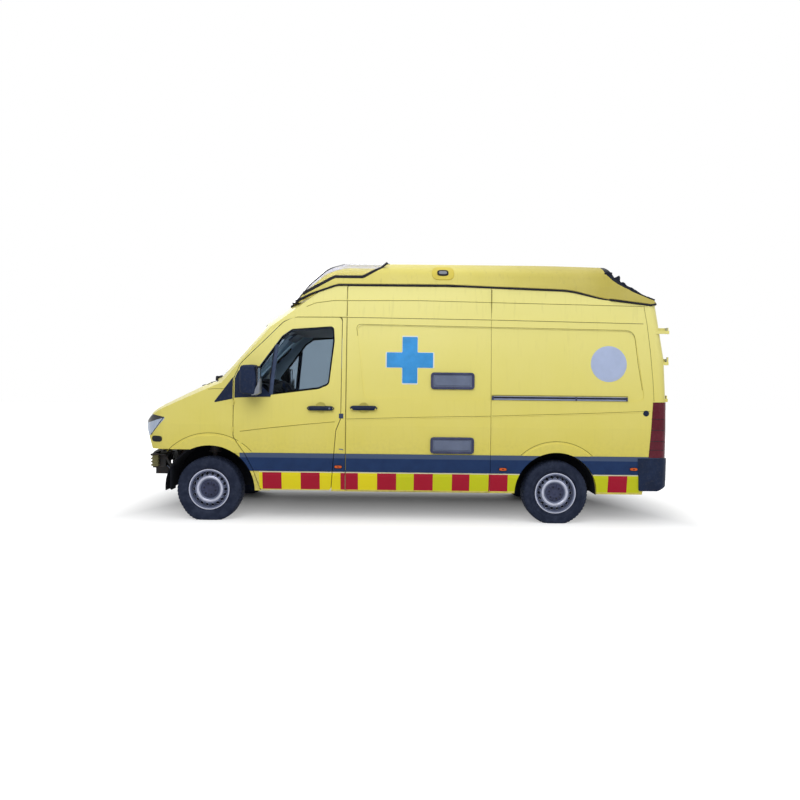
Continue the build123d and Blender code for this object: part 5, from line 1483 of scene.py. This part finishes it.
def rear_corner(side, word):
    """Seals and beads of a rear door, the tail lamp's lines and the bumper's pieces."""
    door = "rear_door_" + word
    nodes = (door,)
    lamps = ("tail_lamps",)
    strip("rear_rubber_" + word, REAR_WINDOW, nodes, half_round(24, 4, 10), "rubber", door, side, "rear",
          True, out=9)
    for name, rows, under, section, closed in (
        ("rear_crease_", ((40, 1330, 0), (800, 1330, 0)), nodes, half_round(10, 3), False),
        ("rear_panel_bead_", rectangle(110, 800, 790, 1240, 40), nodes, half_round(12, 3.5), True),
        ("rear_knob_", ((868, 1722, 0), (868, 1772, 0)), nodes + ("rear_frame",), half_round(26, 12, 4),
         False),
    ):
        strip(name + word, rows, under, section, "livery", door, side, "rear", closed)
    for index, high in enumerate(LAMP_SPLITS):
        line = ((-4640 - index * 5, high, 0), (-4790, high, 0))
        strip("lamp_split_%d_%s" % (index, word), line, lamps, half_round(5, 1.5, 2), "black", side=side)
    ribs = []
    for z in range(730, 1280, 30):
        pair, ups = hits([Vector((-4650 - (z - 708) * 0.06, z)), Vector((-4800, z))], lamps, "side", side)
        ribs.append(sweep(pair, ups, half_round(3, 1.0, 1)))
    make("lamp_ribs_" + word, ribs, "red_lens")
    make("step_pad_" + word, [box((-4900, side * 330 - 260, 640), (-4846, side * 330 + 260, 646))], "black",
         bevel=2)
    patch("reflector_" + word, rectangle(560, 520, 740, 556, 8), ("rear_bumper",), 4, "red_lens", side=side,
          facing="rear", edge=3, step=10)
    if word == "left":
        for name, rows, proud, edge, step, finish in REAR_DOOR_PARTS:
            patch(name, rows, nodes, proud, finish, door, side=side, facing="rear", edge=edge, step=step)
    strip("door_seal_" + word, ((12, 740, 0), (12, 2260, 0)), nodes, half_round(14, 3, 3), "rubber", door,
          side, "rear")


def rear_end():
    """Rear corners, and the lockers, bench and rails of the load space."""
    for side, word in SIDES:
        rear_corner(side, word)
    lockers = [box((-4300, 420, 684), (-2300, 640, 1120)), box((-4300, -640, 684), (-3000, -430, 1500))]
    make("ward_lockers", lockers, "board", bevel=12)
    doors = [box((-4200 + 640 * k, 414, 740), (-3600 + 640 * k, 422, 1080)) for k in range(3)]
    doors += [box((-4240 + 620 * k, -434, 760), (-3660 + 620 * k, -426, 1440)) for k in range(2)]
    make("ward_locker_doors", doors, "pale", bevel=3)
    pad("ward_bench_pad", (-4290, 415, 1122), (-2310, 642, 1190), crown=14)
    rail = ((-4200, 300, 2330), (-4150, 300, 2290), (-2400, 300, 2290), (-2350, 300, 2330))
    make("ward_rails", [bent(rail, side, 28, 28, (0, 1, 0)) for side, _ in SIDES], "bright")


# Stage and light
FLOOR_HALF = 30.0
FLOOR_DEPTH = -0.002
# Floor glow rises from none at the object's footprint to NEAR_GLOW, then to full: painted shadow round the
# object
NEAR_GLOW = 0.58
NEAR_REACH = 1.9
FAR_REACH = 4.0
WORLD_STRENGTH = 0.50
# Name, place, aim, size and power
LAMPS = (
    ("key", (1.5, 7.5, 6.5), (0, 0, 1.2), 6.0, 330.0),
    ("fill", (-6.5, 5.0, 4.0), (-1.5, 0, 1.2), 5.0, 95.0),
    ("top", (0.5, 0.5, 8.5), (0, 0, 0), 7.0, 210.0),
    ("back", (2.0, -7.5, 5.0), (0, 0, 1.2), 6.0, 170.0),
)


def seen_rays(tree):
    """1 for rays that look at the background, also through glass and in metal."""
    path = tree.nodes.new("ShaderNodeLightPath")
    total = path.outputs["Is Camera Ray"]
    for kind in ("Is Glossy Ray", "Is Transmission Ray"):
        node = tree.nodes.new("ShaderNodeMath")
        node.operation = "MAXIMUM"
        tree.links.new(total, node.inputs[0])
        tree.links.new(path.outputs[kind], node.inputs[1])
        total = node.outputs[0]
    return total


def set_floor():
    """Pale floor that keeps the cast shadow, is painted darker near the object as painted shadow by
    position, and turns white further off.
    """
    mesh = bpy.data.meshes.new("floor_stage")
    corners = [(x * FLOOR_HALF, y * FLOOR_HALF, FLOOR_DEPTH)
               for x, y in ((-1, -1), (1, -1), (1, 1), (-1, 1))]
    mesh.from_pydata(corners, [], [(0, 1, 2, 3)])
    stage = bpy.data.objects.new("floor_stage", mesh)
    bpy.context.collection.objects.link(stage)
    shader = Shader("pale_floor", Roughness=0.9)
    shader.finish((0.62, 0.62, 0.62))
    # Distance out from the object's footprint; less glow closer in paints a shadow
    beyond = shader.math("MULTIPLY_ADD", shader.math("ABSOLUTE", shader.x), 2.0, -4.7)
    beyond = shader.math("MAXIMUM", beyond, shader.math("ADD", shader.y, 0.55))
    beyond = shader.math("MAXIMUM", beyond, shader.math("MULTIPLY_ADD", shader.y, -1.0, -0.80))
    near = shader.spread(beyond, 0.0, NEAR_REACH, 0.0, NEAR_GLOW)
    far = shader.spread(beyond, NEAR_REACH, FAR_REACH, 0.0, 1.0 - NEAR_GLOW)
    tree = shader.tree
    glow = tree.nodes.new("ShaderNodeEmission")
    glow.inputs["Color"].default_value = (1, 1, 1, 1)
    shader.put(glow.inputs["Strength"], shader.all_of(seen_rays(tree), shader.math("ADD", near, far)))
    total = tree.nodes.new("ShaderNodeAddShader")
    tree.links.new(shader.surface.outputs[0], total.inputs[0])
    tree.links.new(glow.outputs[0], total.inputs[1])
    tree.links.new(total.outputs[0], tree.nodes["Material Output"].inputs["Surface"])
    mesh.materials.append(shader.material)


def set_world():
    """Soft sky that lights the object, white where it is seen."""
    world = bpy.data.worlds.new("studio")
    bpy.context.scene.world = world
    world.use_nodes = True
    tree = world.node_tree
    sky = tree.nodes["Background"]
    coords = tree.nodes.new("ShaderNodeTexCoord")
    split = tree.nodes.new("ShaderNodeSeparateXYZ")
    tree.links.new(coords.outputs["Generated"], split.inputs[0])
    ramp = tree.nodes.new("ShaderNodeValToRGB")
    ramp.color_ramp.elements[0].position = 0.35
    ramp.color_ramp.elements[0].color = (0.50, 0.52, 0.55, 1)
    ramp.color_ramp.elements[1].position = 0.85
    ramp.color_ramp.elements[1].color = (0.95, 0.97, 1.0, 1)
    height = tree.nodes.new("ShaderNodeMapRange")
    height.inputs[1].default_value = -1.0
    tree.links.new(split.outputs[2], height.inputs[0])
    tree.links.new(height.outputs[0], ramp.inputs[0])
    tree.links.new(ramp.outputs[0], sky.inputs["Color"])
    sky.inputs["Strength"].default_value = WORLD_STRENGTH
    white = tree.nodes.new("ShaderNodeBackground")
    white.inputs["Color"].default_value = (1, 1, 1, 1)
    blend = tree.nodes.new("ShaderNodeMixShader")
    tree.links.new(seen_rays(tree), blend.inputs[0])
    tree.links.new(sky.outputs[0], blend.inputs[1])
    tree.links.new(white.outputs[0], blend.inputs[2])
    tree.links.new(blend.outputs[0], tree.nodes["World Output"].inputs["Surface"])


def set_lamps():
    """Large soft lamps round the object."""
    for name, place, aim, size, power in LAMPS:
        data = bpy.data.lights.new(name, "AREA")
        data.size = size
        data.energy = power
        light = bpy.data.objects.new(name, data)
        light.visible_transmission = name != "back"
        light.location = place
        light.rotation_euler = (Vector(aim) - Vector(place)).to_track_quat("-Z", "Y").to_euler()
        bpy.context.collection.objects.link(light)


place_camera()
dress_nodes()
for side, word in SIDES:
    cab_door(side, word)
    side_trim(side, word)
    wheel("front_" + word, 0, side, "wheel_front_" + word, soft=side > 0)
    wheel("rear_" + word, -WHEELBASE, side, "wheel_rear_" + word)
pod_front()
pod_rear()
front_end()
cab_inside()
rear_end()
set_floor()
set_world()
set_lamps()
bpy.context.scene.view_settings.view_transform = "Standard"
